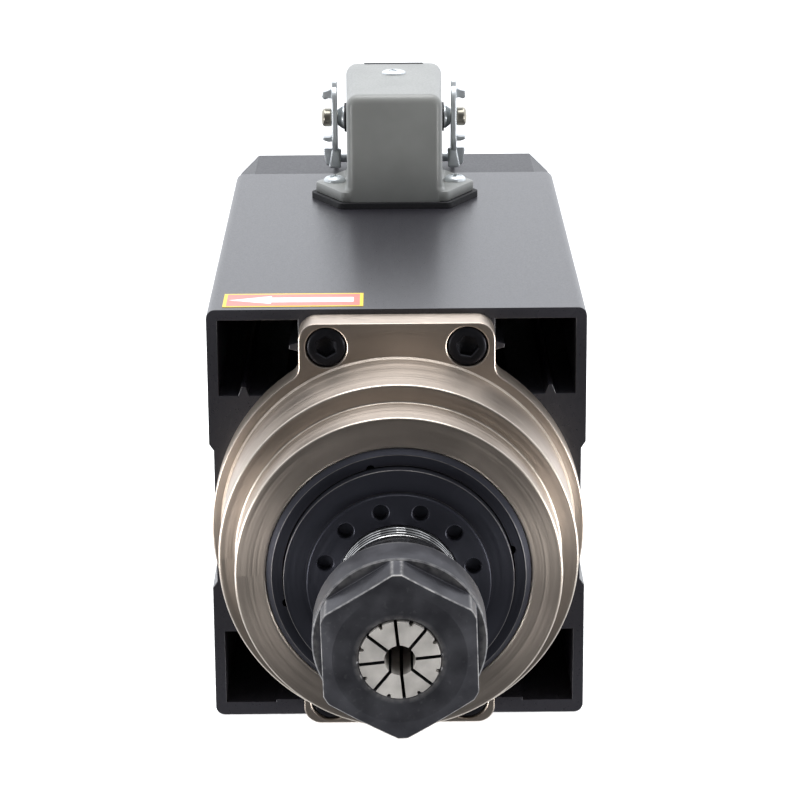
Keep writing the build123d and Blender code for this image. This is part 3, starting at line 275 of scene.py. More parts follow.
def plate(name, loops, front, rear, bevel=0.3, sharp=15.0, faces="front"):
    """A flat plate: the first loop less the others, from station front to rear.

    The loops are filled as flat curves. The local point (u, v, w) then goes to
    (u, middle - w, v) for a plate that faces the front, (u, v, middle + w) for one that faces up,
    and (middle + w, u, v) for one that faces the side.
    """
    curve = bpy.data.curves.new(name, "CURVE")
    curve.dimensions = "2D"
    curve.fill_mode = "BOTH"
    curve.extrude = ((rear - front) / 2 - bevel) * MM
    curve.bevel_depth = bevel * MM
    curve.bevel_resolution = 1
    curve.offset = -bevel * MM
    for number, loop in enumerate(loops):
        turn = np.sum(loop[:, 0] * np.roll(loop[:, 1], -1) - np.roll(loop[:, 0], -1) * loop[:, 1])
        if (turn > 0) == (number > 0):
            loop = loop[::-1]
        spline = curve.splines.new("POLY")
        spline.points.add(len(loop) - 1)
        flat = np.concatenate([loop * MM, np.zeros((len(loop), 1)), np.ones((len(loop), 1))], 1)
        spline.points.foreach_set("co", flat.ravel())
        spline.use_cyclic_u = True
    holder = bpy.data.objects.new(name, curve)
    bpy.context.scene.collection.objects.link(holder)
    bpy.context.view_layer.update()
    mesh = bpy.data.meshes.new_from_object(holder.evaluated_get(bpy.context.evaluated_depsgraph_get()))
    bpy.data.objects.remove(holder)
    middle = (front + rear) / 2 * MM
    placings = {
        "front": ((1, 0, 0, 0), (0, 0, -1, middle), (0, 1, 0, 0), (0, 0, 0, 1)),
        "up": ((1, 0, 0, 0), (0, 1, 0, 0), (0, 0, 1, middle), (0, 0, 0, 1)),
        "side": ((0, 0, 1, middle), (1, 0, 0, 0), (0, 1, 0, 0), (0, 0, 0, 1)),
    }
    mesh.transform(Matrix(placings[faces]))
    mesh.name = name
    return finish_mesh(name, mesh, sharp)


def dressed(node, bevel):
    """A copy of a solid's mesh with its loose triangles joined, smoothed and bevelled."""
    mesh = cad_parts[node].data.copy()
    mesh.materials.clear()
    piece = finish_mesh(node + "_dressed", mesh, 30)
    softened = piece.modifiers.new("broken_edges", "BEVEL")
    softened.width = bevel * MM
    softened.segments = 2
    softened.limit_method = "ANGLE"
    softened.angle_limit = radians(35)
    return piece


def stand_for(piece, body, material, *nodes):
    """Give a piece its material, let it ride on a body and, if asked, stand for solids."""
    piece.data.materials.clear()
    piece.data.materials.append(material)
    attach(piece, body)
    if nodes:
        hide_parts(*nodes)
    print(piece.name, len(piece.data.polygons), "faces")
    return piece


# %% [markdown]
# ## Finishes
# Each finish is one Principled shader with a few procedural touches. Patterns are read from the
# piece's own coordinates, in metres, so a scale of 400 is a grain of about 2.5 mm.

# %% Tools for finishes
class Finish:
    """A material under construction: a Principled shader and the few nodes that feed it."""

    def __init__(self, name, colour, metallic, roughness, **sockets):
        self.material = bpy.data.materials.new(name)
        self.material.use_nodes = True
        self.nodes = self.material.node_tree.nodes
        self.links = self.material.node_tree.links
        self.shader = self.nodes["Principled BSDF"]
        self.shader.inputs["Base Color"].default_value = (*colour, 1)
        self.shader.inputs["Metallic"].default_value = metallic
        self.shader.inputs["Roughness"].default_value = roughness
        for socket, value in sockets.items():
            self.shader.inputs[socket.replace("_", " ")].default_value = value
        self.place = self.nodes.new("ShaderNodeTexCoord").outputs["Object"]

    def math(self, operation, *values):
        """One Math node; a value may be a number or another node's output."""
        node = self.nodes.new("ShaderNodeMath")
        node.operation = operation
        for socket, value in zip(node.inputs, values):
            if isinstance(value, (int, float)):
                socket.default_value = value
            else:
                self.links.new(value, socket)
        return node.outputs[0]

    def turned_place(self, spread=0.35):
        """Coordinates for lathe marks: (radius, station, a little of the angle)."""
        parts = self.nodes.new("ShaderNodeSeparateXYZ")
        self.links.new(self.place, parts.inputs[0])
        x, y, z = parts.outputs
        radius = self.math("SQRT", self.math("ADD", self.math("MULTIPLY", x, x), self.math("MULTIPLY", z, z)))
        angle = self.math("ARCTAN2", z, x)
        whole = self.nodes.new("ShaderNodeCombineXYZ")
        self.links.new(radius, whole.inputs[0])
        self.links.new(y, whole.inputs[1])
        self.links.new(self.math("MULTIPLY", angle, spread * MM), whole.inputs[2])
        return whole.outputs[0]

    def noise(self, scale, detail=3.0, stretch=(1, 1, 1), place=None):
        """Cloudy noise of a given scale, stretched along the axes."""
        mapping = self.nodes.new("ShaderNodeMapping")
        mapping.inputs["Scale"].default_value = stretch
        self.links.new(place or self.place, mapping.inputs[0])
        noise = self.nodes.new("ShaderNodeTexNoise")
        noise.inputs["Scale"].default_value = scale
        noise.inputs["Detail"].default_value = detail
        self.links.new(mapping.outputs[0], noise.inputs["Vector"])
        return noise.outputs["Fac"]

    def between(self, source, low, high, to_low=0.0, to_high=1.0):
        """Stretch a value from low..high to to_low..to_high, and clamp it."""
        stretch = self.nodes.new("ShaderNodeMapRange")
        for socket, value in zip(("From Min", "From Max", "To Min", "To Max"), (low, high, to_low, to_high)):
            stretch.inputs[socket].default_value = value
        self.links.new(source, stretch.inputs["Value"])
        return stretch.outputs[0]

    def colours(self, amount, first, second):
        """Mix two colours, or a colour and another output, by an amount."""
        mix = self.nodes.new("ShaderNodeMix")
        mix.data_type = "RGBA"
        self.links.new(amount, mix.inputs["Factor"])
        for socket, value in ((mix.inputs[6], first), (mix.inputs[7], second)):
            if isinstance(value, tuple):
                socket.default_value = (*value, 1)
            else:
                self.links.new(value, socket)
        return mix.outputs[2]

    def feed(self, socket, source):
        """Let a node's output drive one of the shader's sockets."""
        self.links.new(source, self.shader.inputs[socket])

    def bump(self, height, strength, distance):
        """Raise the surface by a height pattern; distance is in millimetres."""
        bump = self.nodes.new("ShaderNodeBump")
        bump.inputs["Strength"].default_value = strength
        bump.inputs["Distance"].default_value = distance * MM
        self.links.new(height, bump.inputs["Height"])
        self.feed("Normal", bump.outputs[0])

    def brushed_round(self, amount):
        """Stretch the gloss across lathe marks, which run along (z, 0, -x) at each point."""
        parts = self.nodes.new("ShaderNodeSeparateXYZ")
        self.links.new(self.place, parts.inputs[0])
        whole = self.nodes.new("ShaderNodeCombineXYZ")
        self.links.new(parts.outputs[2], whole.inputs[0])
        self.links.new(self.math("MULTIPLY", parts.outputs[0], -1.0), whole.inputs[2])
        turn = self.nodes.new("ShaderNodeVectorTransform")
        turn.vector_type, turn.convert_from, turn.convert_to = "VECTOR", "OBJECT", "WORLD"
        self.links.new(whole.outputs[0], turn.inputs[0])
        self.feed("Tangent", turn.outputs[0])
        self.shader.inputs["Anisotropic"].default_value = amount
        self.shader.inputs["Anisotropic Rotation"].default_value = 0.25

    def worn(self):
        """How far a point is into a rubbed edge, as the mesh says."""
        rub = self.nodes.new("ShaderNodeAttribute")
        rub.attribute_name = "worn"
        return rub.outputs["Fac"]


# %% Metals
RING_GRAIN = 2600.0


def turned_metal(name, colour, roughness, bright, metallic=1.0, edge=0.6, bump=0.10, brushed=0.7):
    """Lathe-turned metal: fine rings round the axis, a cloudy tone, and bright rubbed edges."""
    metal = Finish(name, colour, metallic, roughness)
    rings = metal.noise(RING_GRAIN, 2.0, place=metal.turned_place())
    clouds = metal.noise(60.0, 4.0)
    dark = tuple(0.80 * c for c in colour)
    tone = metal.colours(metal.between(clouds, 0.35, 0.65), dark, colour)
    patches = metal.between(metal.noise(500.0, 4.0), 0.35, 0.6, 1 - edge, 1.0)
    rub = metal.math("MULTIPLY", metal.worn(), patches)
    metal.feed("Base Color", metal.colours(metal.math("MULTIPLY", rub, edge), tone, bright))
    metal.feed("Roughness", metal.between(rings, 0.3, 0.7, roughness - 0.06, roughness + 0.08))
    metal.bump(rings, bump, 0.05)
    metal.brushed_round(brushed)
    return metal.material


nickel = turned_metal(
    "champagne_nickel", (0.58, 0.50, 0.43), 0.34, (0.86, 0.80, 0.70), bump=0.03, brushed=0.75
)
ground_steel = turned_metal("ground_steel", (0.62, 0.63, 0.65), 0.22, (0.9, 0.9, 0.9), edge=0.5)
blued_steel = turned_metal(
    "blued_steel", (0.034, 0.035, 0.046), 0.36, (0.30, 0.28, 0.26), metallic=0.7, edge=0.5, bump=0.03
)
shaft_steel = turned_metal(
    "shaft_steel", (0.62, 0.62, 0.62), 0.20, (0.9, 0.9, 0.9), edge=0.5, bump=0.02, brushed=0.3
)


def nut_metal():
    """Dark burnished steel: a mottled tone, pale scuffs, and rubbed edges."""
    steel = Finish("burnished_steel", (0.070, 0.070, 0.080), 0.75, 0.38)
    clouds = steel.noise(180.0, 6.0)
    scuffs = steel.between(steel.noise(900.0, 6.0, (1, 0.35, 1)), 0.60, 0.75, 0.0, 0.18)
    tone = steel.colours(steel.between(clouds, 0.35, 0.7), (0.052, 0.052, 0.060), (0.082, 0.082, 0.092))
    rub = steel.math("MULTIPLY", steel.worn(), steel.between(steel.noise(700.0, 4.0), 0.35, 0.6, 0.25, 1.0))
    tone = steel.colours(scuffs, tone, (0.20, 0.20, 0.20))
    steel.feed("Base Color", steel.colours(rub, tone, (0.40, 0.39, 0.38)))
    steel.feed("Roughness", steel.between(clouds, 0.3, 0.7, 0.32, 0.46))
    steel.bump(steel.noise(2500.0, 4.0), 0.12, 0.04)
    return steel.material


burnished_steel = nut_metal()


def plain_metal(name, colour, roughness, metallic=1.0, cloud=150.0):
    """Plated or blackened metal with a faint cloudy tone and a fine grain."""
    metal = Finish(name, colour, metallic, roughness)
    clouds = metal.noise(cloud, 5.0)
    dark = tuple(0.72 * c for c in colour)
    metal.feed("Base Color", metal.colours(metal.between(clouds, 0.35, 0.65), dark, colour))
    metal.feed("Roughness", metal.between(clouds, 0.3, 0.7, roughness - 0.05, roughness + 0.07))
    metal.bump(metal.noise(3000.0, 3.0), 0.05, 0.03)
    return metal.material


zinc = plain_metal("zinc_plate", (0.78, 0.82, 0.84), 0.36, 0.70)
black_oxide = plain_metal("black_oxide", (0.020, 0.020, 0.024), 0.34, 0.8)
collet_steel = plain_metal("collet_steel", (0.62, 0.59, 0.55), 0.46, 0.45, 220.0)
# Near-black finish for the collet's slot walls: painted shade for the dark inside the slots.
slot_painted_shade = plain_metal("slot_painted_shade", (0.02, 0.02, 0.022), 0.6, 0.2)
peg_alloy = plain_metal("peg_alloy", (0.48, 0.45, 0.38), 0.32)
cast_alloy = plain_metal("cast_alloy", (0.48, 0.48, 0.49), 0.5)
copper = plain_metal("varnished_copper", (0.42, 0.15, 0.05), 0.35)
core_steel = plain_metal("core_steel", (0.10, 0.10, 0.11), 0.5)
pin_brass = plain_metal("pin_brass", (0.68, 0.50, 0.20), 0.25)


# %% Paints, anodising, rubber and plastic
def anodised_body():
    """Dark anodised extrusion: a fine satin grain, drawn out along the die's direction."""
    skin_finish = Finish("slate_anodising", (0.022, 0.021, 0.027), 0.0, 0.30, IOR=1.7)
    draw = skin_finish.noise(900.0, 4.0, (1, 0.04, 1))
    grain = skin_finish.noise(2600.0, 3.0)
    skin_finish.feed("Base Color", skin_finish.colours(draw, (0.019, 0.018, 0.023), (0.026, 0.025, 0.031)))
    skin_finish.feed("Roughness", skin_finish.between(grain, 0.3, 0.7, 0.27, 0.36))
    skin_finish.bump(grain, 0.18, 0.03)
    return skin_finish.material


def pebbled(name, colour, roughness, scale, strength, **sockets):
    """Paint or moulded plastic with a pebbled skin and a slightly uneven tone."""
    coat = Finish(name, colour, 0.0, roughness, **sockets)
    pebbles = coat.noise(scale, 2.0)
    clouds = coat.noise(90.0, 4.0)
    dark = tuple(0.88 * c for c in colour)
    coat.feed("Base Color", coat.colours(coat.between(clouds, 0.35, 0.65), dark, colour))
    coat.feed("Roughness", coat.between(pebbles, 0.3, 0.7, roughness - 0.05, roughness + 0.08))
    coat.bump(pebbles, strength, 0.06)
    return coat.material


slate = anodised_body()
cowl_paint = pebbled("cowl_paint", (0.030, 0.030, 0.035), 0.44, 2600.0, 0.12)
hood_paint = pebbled("hood_paint", (0.245, 0.25, 0.238), 0.35, 2200.0, 0.12)
rubber = pebbled("gasket_rubber", (0.012, 0.012, 0.014), 0.7, 1500.0, 0.3)
black_plastic = pebbled("black_plastic", (0.016, 0.016, 0.018), 0.45, 900.0, 0.15)
print("finishes made")

# %% [markdown]
# ## Front bearing housing
# On the real spindle this is one turned casting: an eared plate, two steps and a spigot. The eared
# plate isn't round, so it is a flat outline with a thickness, and the steps are spun.

# %% Eared plate outline
EAR_X, EAR_Z, EAR_CORNER, EAR_ROOT = 21.0, 45.65, 3.8, 3.5
DISC_R = 40.2
SCREW_X, SCREW_Z, POCKET_R = 15.05, 40.4, 4.45
EAR_THICK, PLATE_BORE_R = 8.0, 30.0


def arc(x, z, radius, start, end, count=14):
    """Points along an arc: centre plus radius times (cos a, sin a), from start to end in degrees."""
    angle = np.radians(np.linspace(start, end, count))
    return np.stack([x + radius * np.cos(angle), z + radius * np.sin(angle)], 1)


def eared_outline():
    """One quarter, from the right to the top, mirrored to the other three.

    The quarter is the disc's arc, the root's hollow arc, which touches both the disc and the ear's
    side, and the ear's corner arc.
    """
    root_x = EAR_X + EAR_ROOT
    root_z = ((DISC_R + EAR_ROOT) ** 2 - root_x ** 2) ** 0.5
    meet = np.degrees(np.arctan2(root_z, root_x))
    disc = arc(0, 0, DISC_R, 0, meet, 40)
    root = arc(root_x, root_z, EAR_ROOT, meet + 180, 180, 12)
    corner = arc(EAR_X - EAR_CORNER, EAR_Z - EAR_CORNER, EAR_CORNER, 0, 90)
    quarter = np.concatenate([disc, root[1:], corner])
    left = quarter[::-1] * (-1, 1)
    half = np.concatenate([quarter, left[:-1]])
    return np.concatenate([half, -half[:-1]])


pockets = [circle(POCKET_R, 48, sx * SCREW_X, sz * SCREW_Z) for sx in (-1, 1) for sz in (-1, 1)]
body_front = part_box("body_extrusion")[0][1] / MM
plate_front = body_front - EAR_THICK
ear_loops = [eared_outline(), circle(PLATE_BORE_R), *pockets]
ear_plate = plate("ear_plate", ear_loops, plate_front, body_front, 0.24)
stand_for(ear_plate, "motor", nickel, "front_housing")

# %% Turned steps
NOSE_FRONT, RING_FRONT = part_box("front_housing")[0][1] / MM, 57.9
NOSE_R, RING_R, COVE = 34.0, 37.9, 0.5
BORE_R, SPIGOT_R, SPIGOT_BORE_R, BORE_END = 27.53, 34.4, 31.5, 86.0
housing_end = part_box("front_housing")[1][1] / MM
steps = lathe(
    "housing_steps",
    [
        (NOSE_FRONT, BORE_R), (NOSE_FRONT, NOSE_R), (RING_FRONT, NOSE_R), (RING_FRONT, RING_R),
        (plate_front - COVE, RING_R), (plate_front - 0.02, RING_R + COVE),
        (plate_front + 2, RING_R + COVE), (plate_front + 2, SPIGOT_R), (housing_end, SPIGOT_R),
        (housing_end, SPIGOT_BORE_R), (BORE_END, SPIGOT_BORE_R), (BORE_END, BORE_R),
    ],
    ease=0.45,
)
stand_for(steps, "motor", nickel, "front_housing")

# %% [markdown]
# ## Ear screws
# Socket head cap screws: a round head with a six-sided socket. The socket is made by letting the
# radius follow a hexagon instead of a circle.

# %% Hexagon radius and socket screws
def hexagon(angle, across_flats, turn=0.0):
    """Radius of a hexagon at an angle: half its width over the cosine of the angle from a flat."""
    step = pi / 3
    off = (angle - radians(turn) + step / 2) % step - step / 2
    return across_flats / 2 / np.cos(off)


def socket_screw(name, x, z, head_face, turn, head_r=4.25, height=5.0, key=4.0):
    """A cap screw's head at (x, z): rows of rings from the underside, over the rim, down the socket.

    A row is (radius, depth below the head's face, outward step); no radius means the hexagon.
    """
    angle = turns(96)
    rows = [
        (head_r, height, 0), (head_r, 0.55, 0), (head_r - 0.12, 0.22, 0), (head_r - 0.5, 0.0, 0),
        (head_r - 1.2, 0.0, 0), (None, 0.0, 0.25), (None, 0.25, 0), (None, 2.6, 0), (0.0, 3.2, 0),
    ]
    radii = np.array([hexagon(angle, key, turn) + out if r is None else r + 0 * angle for r, _, out in rows])
    depth = np.array([d for _, d, _ in rows])[:, None]
    station = head_face + depth + 0 * radii
    grid = np.stack([x + radii * np.cos(angle), station, z + radii * np.sin(angle)], -1)
    worn = np.array([0, 0, 0.7, 0.7, 0, 0.3, 0, 0, 0])
    return skin(name, grid * MM, worn, sharp=40)


HEAD_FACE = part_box("flange_screws")[0][1] / MM
for number, (sx, sz) in enumerate([(-1, 1), (1, 1), (-1, -1), (1, -1)]):
    screw = socket_screw(f"ear_screw_{number}", sx * SCREW_X, sz * SCREW_Z, HEAD_FACE, 20 * number)
    stand_for(screw, "motor", black_oxide, "flange_screws")

# %% [markdown]
# ## Bearing retainer
# A threaded ring with a bright bevel outside and four small spanner notches in its inner rim. The
# inner radius is a function of the angle, so that each notch is a smooth bite out of the rim.

# %% Retainer
RETAINER_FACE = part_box("bearing_retainer")[0][1] / MM
RETAINER_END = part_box("bearing_retainer")[1][1] / MM
RETAINER_IN, BEVEL_IN, RETAINER_OUT, NOTCH_R, NOTCH_LENGTH = 24.05, 26.3, 27.45, 0.85, 4.5
notch_angle = np.radians(90 + 13.5 - np.arange(4) * 90.0)


def retainer():
    """Spun ring whose inner rim is pushed out to sqrt(notch^2 - arc^2) near each notch."""
    outline, worn = eased(
        [
            (RETAINER_FACE, RETAINER_IN), (RETAINER_FACE, BEVEL_IN), (RETAINER_FACE + 1.1, RETAINER_OUT),
            (RETAINER_END, RETAINER_OUT), (RETAINER_END, RETAINER_IN),
        ],
        0.12,
        closed=True,
    )
    angle = turns(720)
    y, r = outline[:, 0, None], outline[:, 1, None]
    off = (angle[:, None] - notch_angle + pi) % (2 * pi) - pi
    bite = np.sqrt(np.clip(NOTCH_R ** 2 - (RETAINER_IN * off) ** 2, 0, None)).max(1)
    share = np.clip(1 - (r - RETAINER_IN) / 0.5, 0, 1) * (y < RETAINER_FACE + NOTCH_LENGTH)
    radius = r + bite * share
    grid = np.stack([radius * np.cos(angle), y + 0 * radius, radius * np.sin(angle)], -1) * MM
    return skin("retainer_ring", grid, worn, close_rows=True)


stand_for(retainer(), "motor", blued_steel, "bearing_retainer")

# %% [markdown]
# ## Balance ring
# It turns with the shaft. Twelve blind holes let a fitter drill or plug it to balance the rotor. The
# boss with the holes is a flat outline, a ring behind it makes their floors, and the rim is spun.

# %% Balance ring
BOSS_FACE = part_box("balance_ring")[0][1] / MM
BOSS_R, RIM_R, SHAFT_R, HOLE_R, HOLE_PITCH, HOLE_DEPTH = 19.0, 23.8, 12.5, 1.65, 15.7, 2.0
RIM_FACE, RIM_BACK = BOSS_FACE + 1.7, BOSS_FACE + 8.7
BOSS_BACK = RIM_BACK - 1.0
HOLE_COUNT, HOLE_TURN = 12, 13.3
hole_angle = radians(HOLE_TURN) + np.arange(HOLE_COUNT) * 2 * pi / HOLE_COUNT
holes = [circle(HOLE_R, 32, HOLE_PITCH * cos(a), HOLE_PITCH * sin(a)) for a in hole_angle]
boss_loops = [circle(BOSS_R, 192), circle(SHAFT_R, 144), *holes]
boss = plate("balance_boss", boss_loops, BOSS_FACE, BOSS_BACK, 0.22)
stand_for(boss, "rotor", blued_steel, "balance_ring")
hole_floor = BOSS_FACE + HOLE_DEPTH
floor_in, floor_out = HOLE_PITCH - 2.0, HOLE_PITCH + 2.0
floors = lathe(
    "balance_hole_floors",
    [
        (hole_floor, floor_in), (hole_floor, floor_out),
        (hole_floor + 1, floor_out), (hole_floor + 1, floor_in),
    ],
)
stand_for(floors, "rotor", blued_steel, "balance_ring")
rim = lathe(
    "balance_rim",
    [
        (RIM_FACE, BOSS_R - 0.02), (RIM_FACE, RIM_R), (RIM_BACK, RIM_R), (RIM_BACK, SHAFT_R + 0.1),
        (BOSS_BACK, SHAFT_R + 0.1), (BOSS_BACK, BOSS_R - 0.02),
    ],
    ease=0.18,
)
stand_for(rim, "rotor", blued_steel, "balance_ring")

# %% [markdown]
# ## Shaft
# Only the stretch between the nut and the balance ring shows. It is ground bright, with the last
# turns of the nut's thread next to the ring. The thread is a real helix: the groove's depth depends
# on the station less the pitch times the angle.

# %% Shaft
shaft_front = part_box("spindle_shaft")[0][1] / MM
PITCH_MM, THREAD_DEPTH, THREAD_START, RUN_IN = 1.5, 0.42, 36.6, 0.6
CORE_R, NOSE_END, COLUMNS = 9.0, 44.0, 180


def shaft_nose():
    """The shaft's radius less a groove that repeats once a pitch.

    The groove is its depth times 1 - 5 |turn - 0.5|, clipped to 0 and 1, where turn is the share of
    a pitch that (station + pitch * angle / 2 pi) is into its thread.
    """
    station = np.concatenate([[shaft_front, shaft_front + 0.9], np.arange(9.2, 43.2, 0.1)])[:, None]
    angle = turns(COLUMNS)
    turn = ((station + PITCH_MM * angle / (2 * pi)) / PITCH_MM) % 1.0
    groove = np.clip(1 - np.abs(turn - 0.5) * 5.0, 0, 1)
    threaded = np.clip((station - THREAD_START) / RUN_IN, 0, 1)
    radius = SHAFT_R - 0.02 - THREAD_DEPTH * groove * threaded
    radius[0] = SHAFT_R - 1.0
    rear = np.array([[SHAFT_R - 0.02], [CORE_R]]) + 0 * angle
    front = np.full((1, COLUMNS), CORE_R)
    radius = np.concatenate([front, radius, rear])
    station = np.concatenate([[[shaft_front]], station, [[NOSE_END], [NOSE_END]]])
    grid = np.stack([radius * np.sin(angle), station + 0 * radius, radius * np.cos(angle)], -1) * MM
    return skin("shaft_nose", grid, close_rows=True)


stand_for(shaft_nose(), "rotor", shaft_steel, "spindle_shaft")

# %% [markdown]
# ## Clamping nut
# A round collar with a hexagon in front. Its corners are turned down to a round, and its face falls
# away as a shallow cone outside a flat ring. The outside is one surface whose radius, at each angle
# of the hexagon's part, is the lesser of the hexagon's and the round's, with the edges rubbed.

# %% Clamping nut
NUT_FACE, NUT_REAR = (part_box("clamping_nut")[k][1] / MM for k in (0, 1))
NUT_R, NUT_AF, HEX_LENGTH, FLAT_R, MOUTH_R = 17.15, 30.0, 9.0, 13.0, 8.0
FACE_SLOPE, HOLLOW = tan(radians(12.0)), 0.28
NUT_TURN, CORNER_R = 1.6, 16.8


def clamping_nut():
    """Rows from the mouth out over the face, back along the outside, and in through the bore."""
    angle = np.radians(np.arange(0, 360, 0.75))
    whole = hexagon(angle, NUT_AF, NUT_TURN)
    flats = np.minimum(whole, CORNER_R)
    corner = np.clip(1 - np.abs(whole - CORNER_R) / 0.22, 0, 1)
    out = np.linspace(0, 1, 40)[:, None]
    face_r = MOUTH_R + 0.35 + (FLAT_R - MOUTH_R - 0.35) * np.linspace(0, 1, 6)[:, None] + 0 * angle
    face_y = NUT_FACE + 0 * face_r
    limit = flats - 0.12
    slope_r = FLAT_R + (limit - FLAT_R) * out
    slope_y = NUT_FACE + (slope_r - FLAT_R) * FACE_SLOPE
    edge_y = slope_y[-1:] + 0.14
    side_y = edge_y + (NUT_FACE + HEX_LENGTH - HOLLOW - edge_y) * np.linspace(0.03, 1, 16)[:, None]
    side_r = flats + 0 * side_y
    back = np.linspace(0, 1, 6)[:, None]
    cove_y = NUT_FACE + HEX_LENGTH - HOLLOW * (1 - np.sin(back * pi / 2)) + 0 * angle
    cove_r = flats + np.minimum(HOLLOW, NUT_R - 0.35 - flats) * (1 - np.cos(back * pi / 2))
    collar_y = np.array([0.0, 0.25, 0.8, 4.0, 9.0, 9.7, NUT_REAR - NUT_FACE - HEX_LENGTH])[:, None]
    collar_r = np.array([-0.30, -0.02, 0.0, 0.0, 0.0, 0.0, -0.8])[:, None]
    collar_y = NUT_FACE + HEX_LENGTH + collar_y + 0 * angle
    collar_r = NUT_R + collar_r + 0 * angle
    inner_y = np.array([NUT_REAR, 8.0, 8.0, 3.2, 1.0, NUT_FACE + 0.25])[:, None] + 0 * angle
    inner_r = np.array([12.58, 12.58, 11.2, 10.0, MOUTH_R, MOUTH_R])[:, None] + 0 * angle
    rows_y = [face_y, slope_y, edge_y, side_y, cove_y, collar_y, inner_y]
    rows_r = [face_r, slope_r, flats[None], side_r, cove_r, collar_r, inner_r]
    rub = [
        [0.35] + [0] * 5, [0] * 38 + [0.3, 0.9], [1], [0.6] + [0] * 15, [0] * 6,
        [0.6, 0.4, 0, 0, 0, 0.4, 0.6], [0] * 6,
    ]
    worn = np.concatenate(rub)[:, None] + 0 * angle
    first = len(face_r) + len(slope_r)
    outside = slice(first, first + 1 + len(side_r) + len(cove_r))
    worn[outside] = np.maximum(worn[outside], 0.8 * corner)
    radius = np.concatenate(rows_r)
    station = np.concatenate(rows_y)
    grid = np.stack([radius * np.cos(angle), station, radius * np.sin(angle)], -1) * MM
    return skin("nut_body", grid, worn, close_rows=True, sharp=20)


stand_for(clamping_nut(), "nut", burnished_steel, "clamping_nut")

# %% [markdown]
# ## Collet
# A spring collet is a cone cut into jaws by slots from both ends. Each jaw here is a closed outline
# carried across from one slot's wall to the next. A slot has straight, parallel walls, so the angle
# of a wall at radius r is asin(half the slot / r).

# %% Collet
JAWS, SLOT, SLOT_TURN = 8, 0.65, 6.0
COLLET_R, COLLET_BORE, RIM_NOTCH = 7.85, 3.0, 0.65
collet_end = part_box("collet")[1][1] / MM


def collet():
    """The jaws, worked out at once as an array (jaw, row, column, 3), with a notch in each rim."""
    outline, worn = eased(
        [
            (0.0, COLLET_BORE), (0.0, COLLET_R), (1.0, COLLET_R), (4.1, 9.6), (4.1, 9.0),
            (5.9, 9.0), (5.9, 10.5), (collet_end, 6.9), (collet_end, COLLET_BORE),
        ],
        0.14,
        closed=True,
    )
    y, r = outline[:, 0, None], outline[:, 1, None]
    across = np.linspace(0, 1, 25)
    step = 2 * pi / JAWS
    wall = np.arcsin(SLOT / 2 / r)
    angle = wall + (step - 2 * wall) * across
    notch = (np.abs(r * (angle - step / 2)) < SLOT / 2) & (y < 4.0)
    dip = np.where(notch, np.clip(r - (COLLET_R - RIM_NOTCH), 0, None), 0)
    radius = r - dip
    start = radians(90 + SLOT_TURN) + step * np.arange(JAWS)[:, None, None]
    whole = start + angle[None]
    grid = np.stack([radius * np.cos(whole), y + 0 * whole, radius * np.sin(whole)], -1) * MM
    return [strip(f"collet_jaw_{number}", jaw, worn) for number, jaw in enumerate(grid)]


def strip(name, grid, worn):
    """A closed outline carried across columns, with its first and last columns filled."""
    rows, columns = grid.shape[:2]
    index = np.arange(rows * columns).reshape(rows, columns)
    after = np.roll(index, -1, 0)
    faces = np.stack([index[:, :-1], index[:, 1:], after[:, 1:], after[:, :-1]], -1).reshape(-1, 4).tolist()
    faces += [index[:, 0].tolist(), index[::-1, -1].tolist()]
    return from_grid(name, grid, faces, worn, 30)


# The slot walls get a near-black finish: painted shade for the dark inside the slots, not the walls' own
# colour.
for jaw in collet():
    stand_for(jaw, "collet", collet_steel, "collet")
    jaw.data.materials.append(slot_painted_shade)
    for slot_wall in (-2, -1):
        jaw.data.polygons[slot_wall].material_index = 1

# %% [markdown]
# ## Extruded body
# The body is one aluminium extrusion: four corner ducts run its whole length round the motor bore.
# It is a flat outline with five holes, given the body's length.

# %% Extruded body
BODY_X, BODY_Z, BODY_EDGE_R, MOTOR_BORE_R = 41.0, 46.8, 2.0, 34.52
STEP_X, STEP_OUT, STEP_IN = 40.0, 16.6, 15.1
DUCT_R, DUCT_OUT, DUCT_IN, DUCT_HEIGHT = 36.9, 38.6, 21.2, 16.9
DUCT_TOP, DUCT_BOTTOM = 44.45, 43.8
body_low, body_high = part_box("body_extrusion")


def duct(sx, sz, top):
    """A corner duct's outline: straight walls outside and the round wall of the motor bore inside.

    A top duct has two small fins, and a bottom duct a thicker land for a foot screw.
    """
    outer_z = DUCT_TOP if top else DUCT_BOTTOM
    floor_z = outer_z - DUCT_HEIGHT
    begin = np.degrees(np.arctan2((DUCT_R ** 2 - DUCT_IN ** 2) ** 0.5, DUCT_IN))
    end = np.degrees(np.arctan2(floor_z, (DUCT_R ** 2 - floor_z ** 2) ** 0.5))
    inner = arc(0, 0, DUCT_R, begin, end, 12)
    fin = [(32.0, floor_z), (32.8, floor_z + 2.0), (33.6, floor_z + 2.0), (34.4, floor_z)] if top else []
    side = [(DUCT_IN, 39.4), (DUCT_IN + 2, 38.8), (DUCT_IN + 2, 38.0), (DUCT_IN, 37.4)] if top else []
    land = [] if top else [(27.5, outer_z), (27.5, outer_z - 0.6), (21.5, outer_z - 0.6), (21.5, outer_z)]
    corners = [(DUCT_OUT, floor_z), (DUCT_OUT, outer_z), *land, (DUCT_IN, outer_z), *side]
    loop = np.concatenate([inner, np.array(fin + corners)])
    return loop * (sx, sz)


def body_corner(sx, sz, start):
    """A rounded corner of the body, through a quarter turn from the start angle."""
    return arc(sx * (BODY_X - BODY_EDGE_R), sz * (BODY_Z - BODY_EDGE_R), BODY_EDGE_R, start, start + 90, 8)


